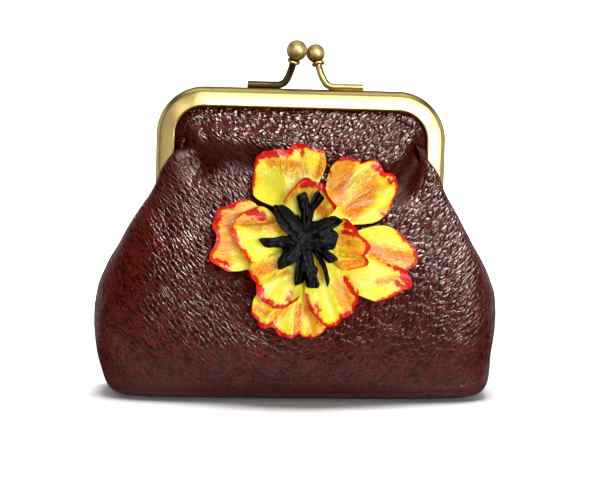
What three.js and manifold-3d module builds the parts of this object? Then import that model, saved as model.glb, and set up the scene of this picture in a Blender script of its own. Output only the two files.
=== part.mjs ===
// A kiss lock coin purse: a hollow leather pouch crimped into two hinged brass frame halves,
// each with a bent arm and a ball, and a layered leather flower on the front of the pouch.
// Millimetres, +Z up. The front faces -Y and the origin is the middle of the base.
import * as THREE from "three";
import { mergeVertices } from "three/addons/utils/BufferGeometryUtils.js";
import Module from "manifold-3d";

const wasm = await Module();
wasm.setup();

// Frame
const FRAME_WIDTH = 85;
const FRAME_TOP = 89.5;
const CORNER_RADIUS = 14;
const CORNER_STEPS = 6;
const SHEET = 0.8; // brass sheet
const LIP_WIDTH = 5.6; // the face that shows from the front
const HALF_DEPTH = 5.2; // one half, from the joint between the halves to its face
const EDGE_ROUND = 2.6;
const HALF_GAP = 0.15; // each half keeps this off the joint plane
const INNER_LIP_WIDTH = 4.6;

// Hinge
const HINGE_Z = 50.5;
const EAR_RADIUS = 3.2;
const EAR_GAP = 0.3;
const ARM_END_Z = HINGE_Z + EAR_RADIUS + 0.4;
const RIVET_RADIUS = 1;
const RIVET_HEAD_RADIUS = 1.8;
const RIVET_HEAD = 0.6;

// Clasp
const WIRE_RADIUS = 1.05;
const WIRE_SIDES = 10;
const BALL_OFFSET_X = 2.75;
const BALL_CROSS_Y = 1.3; // each ball leans this far over the joint to the other side
const WIRE_Y = 1.5;
const CLASP_OFF_CENTRE = 0.9;
const FRONT_BALL = { radius: 2.75, up: 10.6 }; // up: middle of the ball over the frame's top
const BACK_BALL = { radius: 3.05, up: 11.4 };
const COLLAR_RADIUS = 1.95;
const COLLAR_HEIGHT = 0.9;

// Pouch
const LEATHER = 1.6;
const CHANNEL_Y = 4.05; // outer face of the leather inside the frame's channel
const EDGE_INSET = 2.8; // cut edge of the leather below the frame's outline
const SLIT_FOOT_Z = 46.5; // the side slit closes here, just under the hinge
const SLIT_RISE = 7;
const WRAP_LOW_Z = 65; // below this the leather folds out over the frame
const WRAP_HIGH_Z = 73;

// The frame sits a little off the middle and leans to the right, as a soft bag lets it.
const FRAME_SHIFT = 1.4;
const FRAME_LEAN = THREE.MathUtils.degToRad(1.1);
const LEAN_FULL_Z = 44;

// Flower
const FLOWER = { x: 1.8, z: 48.1 };
const PETAL_THICKNESS = 1.2;
const PIECE_GAP = 0.35;
const WELD = 1e-4;

// Horizontal sections of the pouch, from the middle of the base to the frame.
// half: half width at the shoulder; depth: front face at the middle; shoulder: depth where it is widest;
// tuck: how far the side seam is drawn in; power: squareness of the front corners.
const SECTIONS = [
  { z: 0, half: 33, depth: 0, shoulder: 0, tuck: 0, power: 4 },
  { z: 0, half: 41, depth: 9.5, shoulder: 2, tuck: 0, power: 4 },
  { z: 0.3, half: 46.5, depth: 14, shoulder: 3.4, tuck: 0, power: 3.8 },
  { z: 1.1, half: 50.6, depth: 17.9, shoulder: 4.4, tuck: 0, power: 3.5 },
  { z: 3, half: 54, depth: 21.1, shoulder: 5, tuck: 0, power: 3.2 },
  { z: 6.5, half: 56.4, depth: 23.4, shoulder: 5, tuck: 0, power: 3 },
  { z: 12, half: 58, depth: 24.7, shoulder: 5.2, tuck: 0.2, power: 2.8 },
  { z: 18, half: 58.9, depth: 25.1, shoulder: 5.6, tuck: 0.6, power: 2.7 },
  { z: 24, half: 59.2, depth: 24.9, shoulder: 6, tuck: 1.6, power: 2.6 },
  { z: 30, half: 58.5, depth: 24.4, shoulder: 6.6, tuck: 3.6, power: 2.5 },
  { z: 36, half: 56.5, depth: 23.6, shoulder: 7.4, tuck: 6.4, power: 2.45 },
  { z: 42, half: 53.3, depth: 22.4, shoulder: 8.4, tuck: 9.4, power: 2.4 },
  { z: SLIT_FOOT_Z, half: 50.6, depth: 20.9, shoulder: 9, tuck: 10.9, power: 2.4 },
  { z: 48.7, half: 49.3, depth: 20.1, shoulder: 9.2, tuck: 0, power: 2.4 },
  { z: 53, half: 46.8, depth: 18.3, shoulder: 9, tuck: 0, power: 2.4 },
  { z: 58, half: 43.9, depth: 16.1, shoulder: 8.6, tuck: 0, power: 2.4 },
  { z: 62, half: 41.9, depth: 14.2, shoulder: 8.2, tuck: 0, power: 2.5 },
  { z: 66, half: 40.4, depth: 13, shoulder: 7.8, tuck: 0, power: 2.6 },
  { z: 70, half: 37.6, depth: 12.5, shoulder: 7.2, tuck: 0, power: 2.8 },
  { z: 73, half: 34.6, depth: 11.5, shoulder: 6.2, tuck: 0, power: 3 },
  { z: 76.2, half: 34.4, depth: 9.8, shoulder: 5.9, tuck: 0, power: 3 },
  { z: 79, half: 33.2, depth: 7.8, shoulder: 5.9, tuck: 0, power: 3 },
  { z: 81.5, half: 28.5, depth: 5.9, shoulder: 5.9, tuck: 0, power: 3 },
  { z: 83.2, half: 28.5, depth: 4.5, shoulder: 4.5, tuck: 0, power: 3 },
  { z: 84.2, half: 28.5, depth: 4.05, shoulder: 4.05, tuck: 0, power: 3 },
  { z: FRAME_TOP - EDGE_INSET, half: 28.5, depth: 4.05, shoulder: 4.05, tuck: 0, power: 3 },
];

// Valleys in the front face, each a line from one end to the other.
const DENTS = [
  { x1: 36, z1: 77, x2: 27, z2: 64, depth: 2.6, width: 4 },
  { x1: -36, z1: 77, x2: -29, z2: 67, depth: 2.4, width: 4 },
  { x1: -29, z1: 67, x2: -12, z2: 66, depth: 1.4, width: 5 },
];

// The neck, where the leather leaves the channel, one row per point: inset from the frame's outline and
// depth. The second pair is where the leather folds out over the frame's face.
const NECK = [
  { inset: 5.3, y: CHANNEL_Y, foldInset: 5.3, foldY: CHANNEL_Y },
  { inset: 6.3, y: 4.5, foldInset: 6.2, foldY: 4.4 },
  { inset: 7.2, y: 5.2, foldInset: 6.5, foldY: 5 },
  { inset: 8, y: 5.9, foldInset: 6.2, foldY: 5.7 },
];
const SIDE_STEPS = 3; // from the neck to the shoulder
const FRONT_STEPS = 6; // from the shoulder to the middle

// Petals: the angle runs anticlockwise from +X as seen from the front; start is the radius of the foot.
// rim: reach of the outer edge as a share of end, from the clockwise side to the anticlockwise side.
// lift: height of the foot's top face over the leather; rise: more height at the rim; cup: raised sides.
const PETALS = [
  { name: "petal_outer_top", angle: 104, start: 6.5, end: 26.5, half: 11.4, lift: 1.55, rise: 2.4,
    cup: 0.8, ruffle: 0.7, waves: 2.5, phase: 0.4, rim: [0.84, 0.93, 0.99, 0.975, 1, 0.955, 0.64] },
  { name: "petal_outer_upper_right", angle: 39, start: 6.5, end: 30.4, half: 11.2, lift: 1.55, rise: 1.8,
    cup: 0.6, ruffle: 0.7, waves: 3, phase: 1.2, rim: [0.74, 0.955, 1, 0.965, 0.955, 0.84, 0.715] },
  { name: "petal_outer_right", angle: -17, start: 6.5, end: 34.1, half: 10.7, lift: 1.55, rise: 1.8,
    cup: 0.5, ruffle: 0.8, waves: 2.5, phase: 2.2, rim: [0.75, 0.9, 0.995, 0.945, 0.97, 0.935, 0.73] },
  { name: "petal_outer_bottom", angle: -101, start: 6.5, end: 29, half: 11, lift: 1.55, rise: 1.6,
    cup: 0.4, ruffle: 0.8, waves: 3, phase: 0.1, rim: [0.8, 0.935, 0.945, 1, 0.97, 0.955, 0.85] },
  { name: "petal_outer_left", angle: 178, start: 6.5, end: 27, half: 10, lift: 1.55, rise: 1.8,
    cup: 0.6, ruffle: 0.7, waves: 2.5, phase: 1.9, rim: [0.78, 0.97, 0.995, 0.95, 0.965, 0.99, 0.72] },
  { name: "petal_inner_top", angle: 82, start: 5, end: 16.8, half: 7.6, lift: 3.5, rise: 3.6,
    cup: 1, ruffle: 0.6, waves: 2, phase: 0.8, rim: [0.66, 0.76, 0.95, 0.97, 0.99, 0.85, 0.55] },
  { name: "petal_inner_right", angle: -6, start: 4.8, end: 19.6, half: 7, lift: 3.5, rise: 3.4,
    cup: 0.8, ruffle: 0.6, waves: 2, phase: 2.6, rim: [0.72, 0.97, 0.95, 0.98, 0.86, 0.73, 0.58] },
  { name: "petal_inner_lower_right", angle: -62, start: 4.8, end: 26.6, half: 7.4, lift: 3.5, rise: 3,
    cup: 0.6, ruffle: 0.7, waves: 2.5, phase: 1.4, rim: [0.7, 0.97, 1, 0.955, 0.95, 0.905, 0.77] },
  { name: "petal_inner_lower_left", angle: -119, start: 4.8, end: 21.4, half: 7.2, lift: 3.5, rise: 3.2,
    cup: 0.7, ruffle: 0.6, waves: 2, phase: 0.2, rim: [0.72, 0.83, 0.96, 1, 0.995, 0.93, 0.74] },
  { name: "petal_inner_left", angle: 177, start: 4.8, end: 21.2, half: 7.8, lift: 3.5, rise: 3.2,
    cup: 0.8, ruffle: 0.6, waves: 2, phase: 2, rim: [0.68, 0.9, 0.975, 0.98, 0.92, 0.84, 0.7] },
];
const PETAL_ROWS = 5;
const FOOT_SHARE = 0.28; // a petal's foot is this share of its full width

// Stamens: strips of black leather fused to a knot in the middle. Lengths run from the middle, width is full.
const STAMENS = [
  { angle: 131, length: 11.6, width: 4.1, tip: 9.6 },
  { angle: 99, length: 11.9, width: 2.5, tip: 9.4 },
  { angle: 69, length: 13, width: 2, tip: 9.8 },
  { angle: 28, length: 11.8, width: 3, tip: 9.8 },
  { angle: -1, length: 8.9, width: 4.5, tip: 8.2 },
  { angle: -38, length: 11, width: 2.5, tip: 8 },
  { angle: -58, length: 14.7, width: 1.5, tip: 8.4 },
  { angle: -78, length: 14.1, width: 4, tip: 8.8 },
  { angle: -93, length: 12.7, width: 3.5, tip: 8.4 },
  { angle: -130, length: 10.9, width: 3.5, tip: 8.8 },
  { angle: 188, length: 11.9, width: 2.5, tip: 8.6 },
];
const STRIP_THICKNESS = 1;
const STRIP_STEPS = 4;
const STRIP_HEIGHT = 7.2;
const KNOT_RADIUS = 3.4;
const KNOT_TOP = 8.4;

const MATERIALS = {
  leather: new THREE.MeshStandardMaterial({ color: 0x3c1412, roughness: 0.38, metalness: 0 }),
  brass: new THREE.MeshStandardMaterial({ color: 0xa08a4e, roughness: 0.3, metalness: 1 }),
  petal: new THREE.MeshStandardMaterial({ color: 0xf2b418, roughness: 0.45, metalness: 0 }),
  stamen: new THREE.MeshStandardMaterial({ color: 0x14110f, roughness: 0.6, metalness: 0 }),
};

// A list of triangles that becomes one welded geometry.
class Surface {
  positions = [];

  triangle(a, b, c) {
    this.positions.push(a.x, a.y, a.z, b.x, b.y, b.z, c.x, c.y, c.z);
  }

  quad(a, b, c, d, flip = false) {
    if (flip) return this.quad(d, c, b, a);
    this.triangle(a, b, c);
    this.triangle(a, c, d);
  }

  // A grid of points, row by row.
  grid(rows, flip = false) {
    for (let r = 0; r + 1 < rows.length; r++)
      for (let c = 0; c + 1 < rows[r].length; c++)
        this.quad(rows[r][c], rows[r][c + 1], rows[r + 1][c + 1], rows[r + 1][c], flip);
  }

  // A strip between two lines of points.
  strip(first, second, flip = false) {
    for (let i = 0; i + 1 < first.length; i++)
      this.quad(first[i], first[i + 1], second[i + 1], second[i], flip);
  }

  geometry() {
    const loose = new THREE.BufferGeometry();
    loose.setAttribute("position", new THREE.Float32BufferAttribute(this.positions, 3));
    return withoutSlivers(mergeVertices(loose, WELD));
  }
}

// The geometry without triangles that weld to a line.
function withoutSlivers(geometry) {
  const index = geometry.index.array;
  const kept = [];
  for (let i = 0; i < index.length; i += 3) {
    const [a, b, c] = [index[i], index[i + 1], index[i + 2]];
    if (a !== b && b !== c && c !== a) kept.push(a, b, c);
  }
  geometry.setIndex(kept);
  return geometry;
}

function solidOf(geometry) {
  const bare = new THREE.BufferGeometry();
  bare.setAttribute("position", geometry.getAttribute("position"));
  bare.setIndex(geometry.index);
  const welded = withoutSlivers(mergeVertices(bare, WELD));
  const vertProperties = new Float32Array(welded.getAttribute("position").array);
  const triVerts = new Uint32Array(welded.index.array);
  return new wasm.Manifold(new wasm.Mesh({ numProp: 3, vertProperties, triVerts }));
}

function geometryOf(solid) {
  const mesh = solid.getMesh();
  const geometry = new THREE.BufferGeometry();
  geometry.setAttribute("position", new THREE.BufferAttribute(mesh.vertProperties, 3));
  geometry.setIndex(new THREE.BufferAttribute(mesh.triVerts, 1));
  geometry.computeVertexNormals();
  return geometry;
}

function meshOf(name, geometry, material) {
  const mesh = new THREE.Mesh(geometry, material);
  mesh.name = name;
  return mesh;
}

const mix = THREE.MathUtils.lerp;
const ease = THREE.MathUtils.smoothstep;

// Half width of the frame's outline at height z, moved in by inset.
function frameHalfWidth(z, inset) {
  const radius = CORNER_RADIUS - inset;
  const up = Math.max(0, z - (FRAME_TOP - CORNER_RADIUS));
  return FRAME_WIDTH / 2 - CORNER_RADIUS + Math.sqrt(Math.max(0, radius * radius - up * up));
}

// Moves a point with the frame's shift and lean, which fade out towards the base.
function lean(point) {
  const share = ease(point.z, 0, LEAN_FULL_Z);
  const angle = FRAME_LEAN * share;
  const [x, up] = [point.x, point.z - HINGE_Z];
  const sunk = mix(point.z, HINGE_Z + up * Math.cos(angle) - x * Math.sin(angle), share);
  const moved = FRAME_SHIFT * share + x * Math.cos(angle) + up * Math.sin(angle) * share;
  return new THREE.Vector3(moved, point.y, sunk);
}

function dentAt(x, z) {
  let total = 0;
  for (const dent of DENTS) {
    const [dx, dz] = [dent.x2 - dent.x1, dent.z2 - dent.z1];
    const share = ((x - dent.x1) * dx + (z - dent.z1) * dz) / (dx * dx + dz * dz);
    const along = THREE.MathUtils.clamp(share, 0, 1);
    const away = Math.hypot(x - dent.x1 - along * dx, z - dent.z1 - along * dz);
    total += dent.depth * Math.exp(-((away / dent.width) ** 2));
  }
  return total;
}

// Depth of the front face between the shoulders, at x in one section.
function faceDepth(section, x) {
  const share = Math.min(1, Math.abs(x) / section.half);
  const bulge = (1 - share ** section.power) ** (1 / section.power);
  return mix(section.shoulder, section.depth, bulge);
}

// A section between the table's rows.
function sectionAt(z) {
  const above = SECTIONS.findIndex((s) => s.z > z);
  const [low, high] = [SECTIONS[above - 1], SECTIONS[above]];
  const share = (z - low.z) / (high.z - low.z);
  return Object.fromEntries(Object.keys(low).map((key) => [key, mix(low[key], high[key], share)]));
}

// Points of one section's front, from the right edge to the middle, as depths in front of the joint plane.
function sectionPoints(section) {
  const points = [];
  let from;
  if (section.z > SLIT_FOOT_Z) {
    const open = Math.min(1, Math.sqrt((section.z - SLIT_FOOT_Z) / SLIT_RISE));
    const fold = 1 - ease(section.z, WRAP_LOW_Z, WRAP_HIGH_Z);
    const edge = mix(3.4, EDGE_INSET, ease(section.z, ARM_END_Z - 0.6, ARM_END_Z + 3));
    points.push([frameHalfWidth(section.z, edge), CHANNEL_Y * open]);
    for (const neck of NECK) {
      const inset = mix(neck.inset, neck.foldInset, fold);
      const y = Math.min(mix(neck.y, neck.foldY, fold), Math.max(CHANNEL_Y, section.shoulder));
      points.push([frameHalfWidth(section.z, inset), y * open]);
    }
    from = points.at(-1);
  } else {
    from = [section.half - section.tuck, 0];
    points.push(from);
    for (let i = 1; i <= NECK.length; i++)
      points.push(sidePoint(section, from, i / (NECK.length + SIDE_STEPS)));
  }
  const started = section.z > SLIT_FOOT_Z ? 0 : NECK.length / (NECK.length + SIDE_STEPS);
  for (let i = 1; i <= SIDE_STEPS; i++)
    points.push(sidePoint(section, from, mix(started, 1, i / SIDE_STEPS)));
  for (let i = 1; i <= FRONT_STEPS; i++) {
    const angle = ((i / FRONT_STEPS) * Math.PI) / 2;
    const x = section.half * (i === FRONT_STEPS ? 0 : Math.cos(angle));
    points.push([x, faceDepth(section, x)]);
  }
  return points;
}

// A point on the fold between the neck or seam and the shoulder.
function sidePoint(section, from, share) {
  const angle = (share * Math.PI) / 2;
  const turn = 0.25 * share + 0.75 * (1 - Math.cos(angle));
  return [mix(from[0], section.half, Math.sin(angle)), mix(from[1], section.shoulder, turn)];
}

// The pouch's outer front face as rows of points from left to right, before it leans.
function frontRows() {
  return SECTIONS.map((section) => {
    const right = sectionPoints(section);
    const dented = (x, y) => {
      const clear = ease(y, CHANNEL_Y + 1.5, CHANNEL_Y + 4);
      return new THREE.Vector3(x, -(y - clear * dentAt(x, section.z)), section.z);
    };
    const left = right.slice(0, -1).map(([x, y]) => dented(-x, y));
    return [...left, ...right.reverse().map(([x, y]) => dented(x, y))];
  });
}

// The same rows moved in by the leather's thickness.
function innerRows(rows) {
  const across = new THREE.Vector3();
  const up = new THREE.Vector3();
  return rows.map((row, r) =>
    row.map((point, c) => {
      across.subVectors(row[Math.min(c + 1, row.length - 1)], row[Math.max(c - 1, 0)]);
      up.subVectors(rows[Math.min(r + 1, rows.length - 1)][c], rows[Math.max(r - 1, 0)][c]);
      const normal = new THREE.Vector3().crossVectors(across, up);
      if (normal.length() < WELD) normal.set(0, r ? -1 : 0, r ? 0 : -1); // end points that meet
      if (point.y === 0) normal.y = 0;
      return point.clone().addScaledVector(normal.normalize(), -LEATHER);
    }),
  );
}

// The pouch: outer and inner faces, front and back, joined along the mouth that the frame holds.
function pouch() {
  const outer = frontRows();
  const inner = innerRows(outer);
  const foot = SECTIONS.findIndex((s) => s.z === SLIT_FOOT_Z);
  const surface = new Surface();
  for (const side of [1, -1]) {
    const placed = (rows) => rows.map((row) => row.map((p) => lean(new THREE.Vector3(p.x, p.y * side, p.z))));
    const [outside, inside] = [placed(outer), placed(inner)];
    const back = side < 0;
    surface.grid(outside, back);
    surface.grid(inside, !back);
    surface.strip(outside.at(-1), inside.at(-1), back);
    const edge = (rows, column) => rows.slice(foot).map((row) => row.at(column));
    surface.strip(edge(outside, 0), edge(inside, 0), back);
    surface.strip(edge(outside, -1), edge(inside, -1), !back);
  }
  return surface.geometry();
}

// The frame's outline from the right arm's end over the top to the left arm's end, with outward normals.
function frameStations() {
  const [side, corner] = [FRAME_WIDTH / 2, FRAME_TOP - CORNER_RADIUS];
  const stations = [{ x: side, z: ARM_END_Z, nx: 1, nz: 0 }];
  for (const turn of [1, -1])
    for (let i = 0; i <= CORNER_STEPS; i++) {
      const angle = ((turn > 0 ? i : CORNER_STEPS - i) / CORNER_STEPS) * (Math.PI / 2);
      const [nx, nz] = [turn * Math.cos(angle), Math.sin(angle)];
      const x = turn * (side - CORNER_RADIUS) + CORNER_RADIUS * nx;
      stations.push({ x, z: corner + CORNER_RADIUS * nz, nx, nz });
    }
  stations.push({ x: -side, z: ARM_END_Z, nx: -1, nz: 0 });
  return stations;
}

// The channel's section: inset from the outline and distance in front of the joint plane.
function channelSection() {
  const [face, joint] = [HALF_DEPTH, HALF_GAP];
  const section = [new THREE.Vector2(0, joint)];
  for (let i = 0; i <= 4; i++) {
    const angle = (i / 4) * (Math.PI / 2);
    const [across, back] = [EDGE_ROUND * (1 - Math.cos(angle)), EDGE_ROUND * (1 - Math.sin(angle))];
    section.push(new THREE.Vector2(across, face - back));
  }
  section.push(new THREE.Vector2(LIP_WIDTH - 0.4, face - 0.1));
  section.push(new THREE.Vector2(LIP_WIDTH, face - 0.45));
  section.push(new THREE.Vector2(LIP_WIDTH, face - SHEET));
  section.push(new THREE.Vector2(EDGE_ROUND, face - SHEET));
  section.push(new THREE.Vector2(SHEET, face - EDGE_ROUND));
  section.push(new THREE.Vector2(SHEET, joint + SHEET));
  section.push(new THREE.Vector2(INNER_LIP_WIDTH, joint + SHEET));
  section.push(new THREE.Vector2(INNER_LIP_WIDTH, joint));
  return section;
}

function channel() {
  const section = channelSection();
  const rings = frameStations().map(({ x, z, nx, nz }) =>
    section.map((p) => new THREE.Vector3(x - nx * p.x, -p.y, z - nz * p.x)),
  );
  const surface = new Surface();
  surface.grid(rings.map((ring) => [...ring, ring[0]]), true);
  for (const [a, b, c] of THREE.ShapeUtils.triangulateShape(section, [])) {
    surface.triangle(rings[0][c], rings[0][b], rings[0][a]);
    const last = rings.at(-1);
    surface.triangle(last[a], last[b], last[c]);
  }
  return solidOf(surface.geometry());
}

// A round bar along X, with its middle at the hinge.
function barAlongX(radius, from, to, sides) {
  const bar = new THREE.CylinderGeometry(radius, radius, to - from, sides);
  bar.rotateZ(Math.PI / 2);
  bar.translate((from + to) / 2, 0, HINGE_Z);
  return solidOf(bar);
}

// The hinge ears and the webs that carry them: outside at the right arm, inside at the left.
function ears() {
  const side = FRAME_WIDTH / 2;
  const web = (from, to, low, high) => {
    const box = new THREE.BoxGeometry(to - from, HALF_DEPTH - EDGE_ROUND - HALF_GAP, high - low);
    box.translate((from + to) / 2, -(HALF_GAP + HALF_DEPTH - EDGE_ROUND) / 2, (low + high) / 2);
    return solidOf(box);
  };
  const inside = [-side + SHEET + EAR_GAP, -side + 2 * SHEET + EAR_GAP];
  return barAlongX(EAR_RADIUS, side - SHEET, side, 20)
    .add(web(side - SHEET, side, HINGE_Z, ARM_END_Z + 0.5))
    .add(barAlongX(EAR_RADIUS, ...inside, 20))
    .add(web(...inside, HINGE_Z, ARM_END_Z + 3))
    .add(web(-side + SHEET / 2, inside[1], ARM_END_Z + 1, ARM_END_Z + 3));
}

// A clasp arm: a wire that lies on the frame, bends up and over the joint, and ends in a collar and a ball.
function clasp(shift, { radius, up }) {
  const lie = FRAME_TOP + WIRE_RADIUS - 0.1;
  const ball = new THREE.Vector3(BALL_OFFSET_X + shift, BALL_CROSS_Y, FRAME_TOP + up);
  const route = new THREE.CatmullRomCurve3([
    new THREE.Vector3(17.1 + shift, -WIRE_Y, lie),
    new THREE.Vector3(12 + shift, -WIRE_Y, lie),
    new THREE.Vector3(7.4 + shift, -WIRE_Y, lie),
    new THREE.Vector3(5.4 + shift, -1.2, FRAME_TOP + 2.9),
    new THREE.Vector3(4.3 + shift, -0.5, FRAME_TOP + up / 2),
    new THREE.Vector3(3.6 + shift, 0.5, FRAME_TOP + up * 0.72),
    ball,
  ]);
  const round = new THREE.Shape().absarc(0, 0, WIRE_RADIUS, 0, 2 * Math.PI);
  const wire = new THREE.ExtrudeGeometry(round, {
    steps: 16,
    curveSegments: WIRE_SIDES / 2,
    bevelEnabled: false,
    extrudePath: route,
  });
  const collar = new THREE.CylinderGeometry(COLLAR_RADIUS, COLLAR_RADIUS, COLLAR_HEIGHT, 14);
  const axis = route.getTangentAt(1);
  collar.applyQuaternion(new THREE.Quaternion().setFromUnitVectors(new THREE.Vector3(0, 1, 0), axis));
  const seat = ball.clone().addScaledVector(axis, -(radius + COLLAR_HEIGHT / 3));
  collar.translate(seat.x, seat.y, seat.z);
  const head = new THREE.SphereGeometry(radius, 14, 10);
  head.rotateX(Math.PI / 2);
  head.translate(ball.x, ball.y, ball.z);
  return solidOf(wire).add(solidOf(collar)).add(solidOf(head));
}

// One half of the frame with its soldered clasp arm. Turned half round about Z it is the other half.
function frameHalf(claspShift, ball) {
  const side = FRAME_WIDTH / 2;
  const hole = RIVET_RADIUS + EAR_GAP;
  const holes = barAlongX(hole, side - 3, side + 1, 16).add(barAlongX(hole, -side - 1, -side + 3, 16));
  return geometryOf(channel().add(ears()).subtract(holes).add(clasp(claspShift, ball)));
}

// A rivet through both ears, with a head at each end.
function rivet() {
  const side = FRAME_WIDTH / 2;
  const inner = side - 2 * SHEET - 2 * EAR_GAP;
  const outer = side + EAR_GAP;
  return geometryOf(
    barAlongX(RIVET_RADIUS, inner - 0.1, outer + 0.1, 14)
      .add(barAlongX(RIVET_HEAD_RADIUS, inner - RIVET_HEAD, inner, 16))
      .add(barAlongX(RIVET_HEAD_RADIUS, outer, outer + RIVET_HEAD, 16)),
  );
}

// A point over the front of the pouch, at a height off the leather, before it leans.
function overFront(x, z, height) {
  const face = faceDepth(sectionAt(z), x) - dentAt(x, z);
  return new THREE.Vector3(x, -(face + height), z);
}

// A point of the flower: along and across a direction from its middle.
function flowerPoint(angle, along, across, height) {
  const [cos, sin] = [Math.cos(angle), Math.sin(angle)];
  const [right, up] = [along * cos - across * sin, along * sin + across * cos];
  return lean(overFront(FLOWER.x + right, FLOWER.z + up, height));
}

// A petal: a fan-shaped sheet that rises to a ruffled, wavy rim.
function petal(spec) {
  const angle = THREE.MathUtils.degToRad(spec.angle);
  const sheet = (drop) =>
    Array.from({ length: PETAL_ROWS + 1 }, (_, r) =>
      spec.rim.map((share, c) => {
        const [out, side] = [r / PETAL_ROWS, (2 * c) / (spec.rim.length - 1) - 1];
        const wave = Math.sin(spec.waves * Math.PI * side + spec.phase);
        const along = mix(spec.start, spec.end * share, out);
        const width = spec.half * mix(FOOT_SHARE, 1, ease(out, 0, 1));
        const curl = (spec.cup * side * side + spec.ruffle * wave) * out * out;
        const height = spec.lift + spec.rise * out ** 1.5 + curl;
        return flowerPoint(angle, along, width * side, height - drop);
      }),
    );
  const [top, under] = [sheet(0), sheet(PETAL_THICKNESS)];
  const surface = new Surface();
  const edge = (rows, column) => rows.map((row) => row.at(column));
  surface.grid(top, true);
  surface.grid(under);
  surface.strip(top[0], under[0]);
  surface.strip(top.at(-1), under.at(-1), true);
  surface.strip(edge(top, 0), edge(under, 0), true);
  surface.strip(edge(top, -1), edge(under, -1));
  return surface.geometry();
}

// One strip of the stamens, from inside the knot to its raised tip.
function strip(spec) {
  const angle = THREE.MathUtils.degToRad(spec.angle);
  const surface = new Surface();
  const rings = Array.from({ length: STRIP_STEPS + 1 }, (_, i) => {
    const out = i / STRIP_STEPS;
    const top = mix(STRIP_HEIGHT, spec.tip, out * out) + 0.5 * Math.sin(Math.PI * out);
    const half = (spec.width / 2) * mix(0.7, 1, ease(out, 0, 0.8));
    const at = (across, height) => flowerPoint(angle, spec.length * out, across, height);
    const under = top - STRIP_THICKNESS;
    return [at(-half, top), at(half, top), at(half, under), at(-half, under)];
  });
  surface.grid(rings.map((ring) => [...ring, ring[0]]), true);
  surface.quad(...rings[0]);
  surface.quad(...rings.at(-1), true);
  return solidOf(surface.geometry());
}

// The stamens: every strip joined to a domed knot that stands on the leather between the petals' feet.
function stamens() {
  const profile = [
    new THREE.Vector2(0, PIECE_GAP),
    new THREE.Vector2(KNOT_RADIUS, PIECE_GAP),
    new THREE.Vector2(KNOT_RADIUS, KNOT_TOP - 1.8),
    new THREE.Vector2(KNOT_RADIUS * 0.6, KNOT_TOP - 0.4),
    new THREE.Vector2(0, KNOT_TOP),
  ];
  const knot = new THREE.LatheGeometry(profile, 14);
  const place = knot.getAttribute("position");
  for (let i = 0; i < place.count; i++) {
    const [across, height, along] = [place.getX(i), place.getY(i), place.getZ(i)];
    const moved = lean(overFront(FLOWER.x + across, FLOWER.z - along, height));
    place.setXYZ(i, moved.x, moved.y, moved.z);
  }
  return geometryOf(STAMENS.map(strip).reduce((whole, part) => whole.add(part), solidOf(knot)));
}

function buildFrame() {
  const frame = new THREE.Group();
  const front = meshOf("frame_front", frameHalf(CLASP_OFF_CENTRE, FRONT_BALL), MATERIALS.brass);
  const back = meshOf("frame_back", frameHalf(-CLASP_OFF_CENTRE, BACK_BALL), MATERIALS.brass);
  back.rotation.z = Math.PI;
  const right = meshOf("hinge_rivet_right", rivet(), MATERIALS.brass);
  const left = meshOf("hinge_rivet_left", rivet(), MATERIALS.brass);
  left.rotation.z = Math.PI;
  const halves = new THREE.Group().add(front, back, right, left);
  halves.position.z = -HINGE_Z;
  frame.add(halves);
  frame.rotation.y = FRAME_LEAN;
  frame.position.set(FRAME_SHIFT, 0, HINGE_Z);
  return frame;
}

function buildFlower() {
  const flower = new THREE.Group();
  for (const spec of PETALS) flower.add(meshOf(spec.name, petal(spec), MATERIALS.petal));
  flower.add(meshOf("stamens", stamens(), MATERIALS.stamen));
  return flower;
}

const purse = new THREE.Group();
purse.add(meshOf("pouch", pouch(), MATERIALS.leather), buildFrame(), buildFlower());

export default purse;
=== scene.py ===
"""The looks of a kiss lock coin purse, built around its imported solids.

Lengths are millimetres until a mesh is made. The front faces -Y, and the origin is the middle of the base.
"""

import itertools
import math

import bpy
import numpy as np
from mathutils import Matrix, Vector


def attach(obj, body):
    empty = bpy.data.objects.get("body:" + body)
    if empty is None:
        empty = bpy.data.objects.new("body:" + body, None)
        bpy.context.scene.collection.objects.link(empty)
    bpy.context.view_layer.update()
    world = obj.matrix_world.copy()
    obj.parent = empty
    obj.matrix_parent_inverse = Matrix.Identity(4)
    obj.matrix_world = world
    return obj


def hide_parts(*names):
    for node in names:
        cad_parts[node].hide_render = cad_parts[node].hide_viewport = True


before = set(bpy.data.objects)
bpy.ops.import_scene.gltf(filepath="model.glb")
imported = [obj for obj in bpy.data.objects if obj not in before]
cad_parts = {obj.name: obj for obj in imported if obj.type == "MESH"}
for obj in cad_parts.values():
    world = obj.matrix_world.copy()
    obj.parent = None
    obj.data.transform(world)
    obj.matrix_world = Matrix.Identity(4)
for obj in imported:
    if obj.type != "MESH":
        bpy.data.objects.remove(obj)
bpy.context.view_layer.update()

MM = 0.001

# Frame
FRAME_WIDTH = 85
FRAME_SIDE = FRAME_WIDTH / 2
FRAME_TOP = 89.5
CORNER_RADIUS = 14
SHEET = 0.8
LIP_WIDTH = 5.6
INNER_LIP_WIDTH = 4.6
HALF_DEPTH = 5.2
HALF_GAP = 0.15
EDGE_ROUND = (2.6, 2.4)  # across the face and into the depth
FACE_RISE = 1.2  # the face slopes forward by this much towards its inner edge
EDGE_END_ANGLE = 116  # where the rounded edge runs into the sloping face
LIP_ROUND, LIP_END_ANGLE = 0.55, -45
CROWN = 0.15  # how much the sloping face swells
LIP_HOOK = 1.2
INNER_EASE = 0.5  # how far the corner inside the channel is cut off
BACK_ROUND = 0.3
EDGE_STEPS, FACE_STEPS, LIP_STEPS, BACK_STEPS = 16, 12, 8, 4  # round the channel's section
ARM_ROWS, CORNER_ROWS, TOP_ROWS = 16, 31, 40
FACE_PATINA = 0.02
EDGE_PATINA, EDGE_PATINA_WIDTH = 0.3, 0.5

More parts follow.
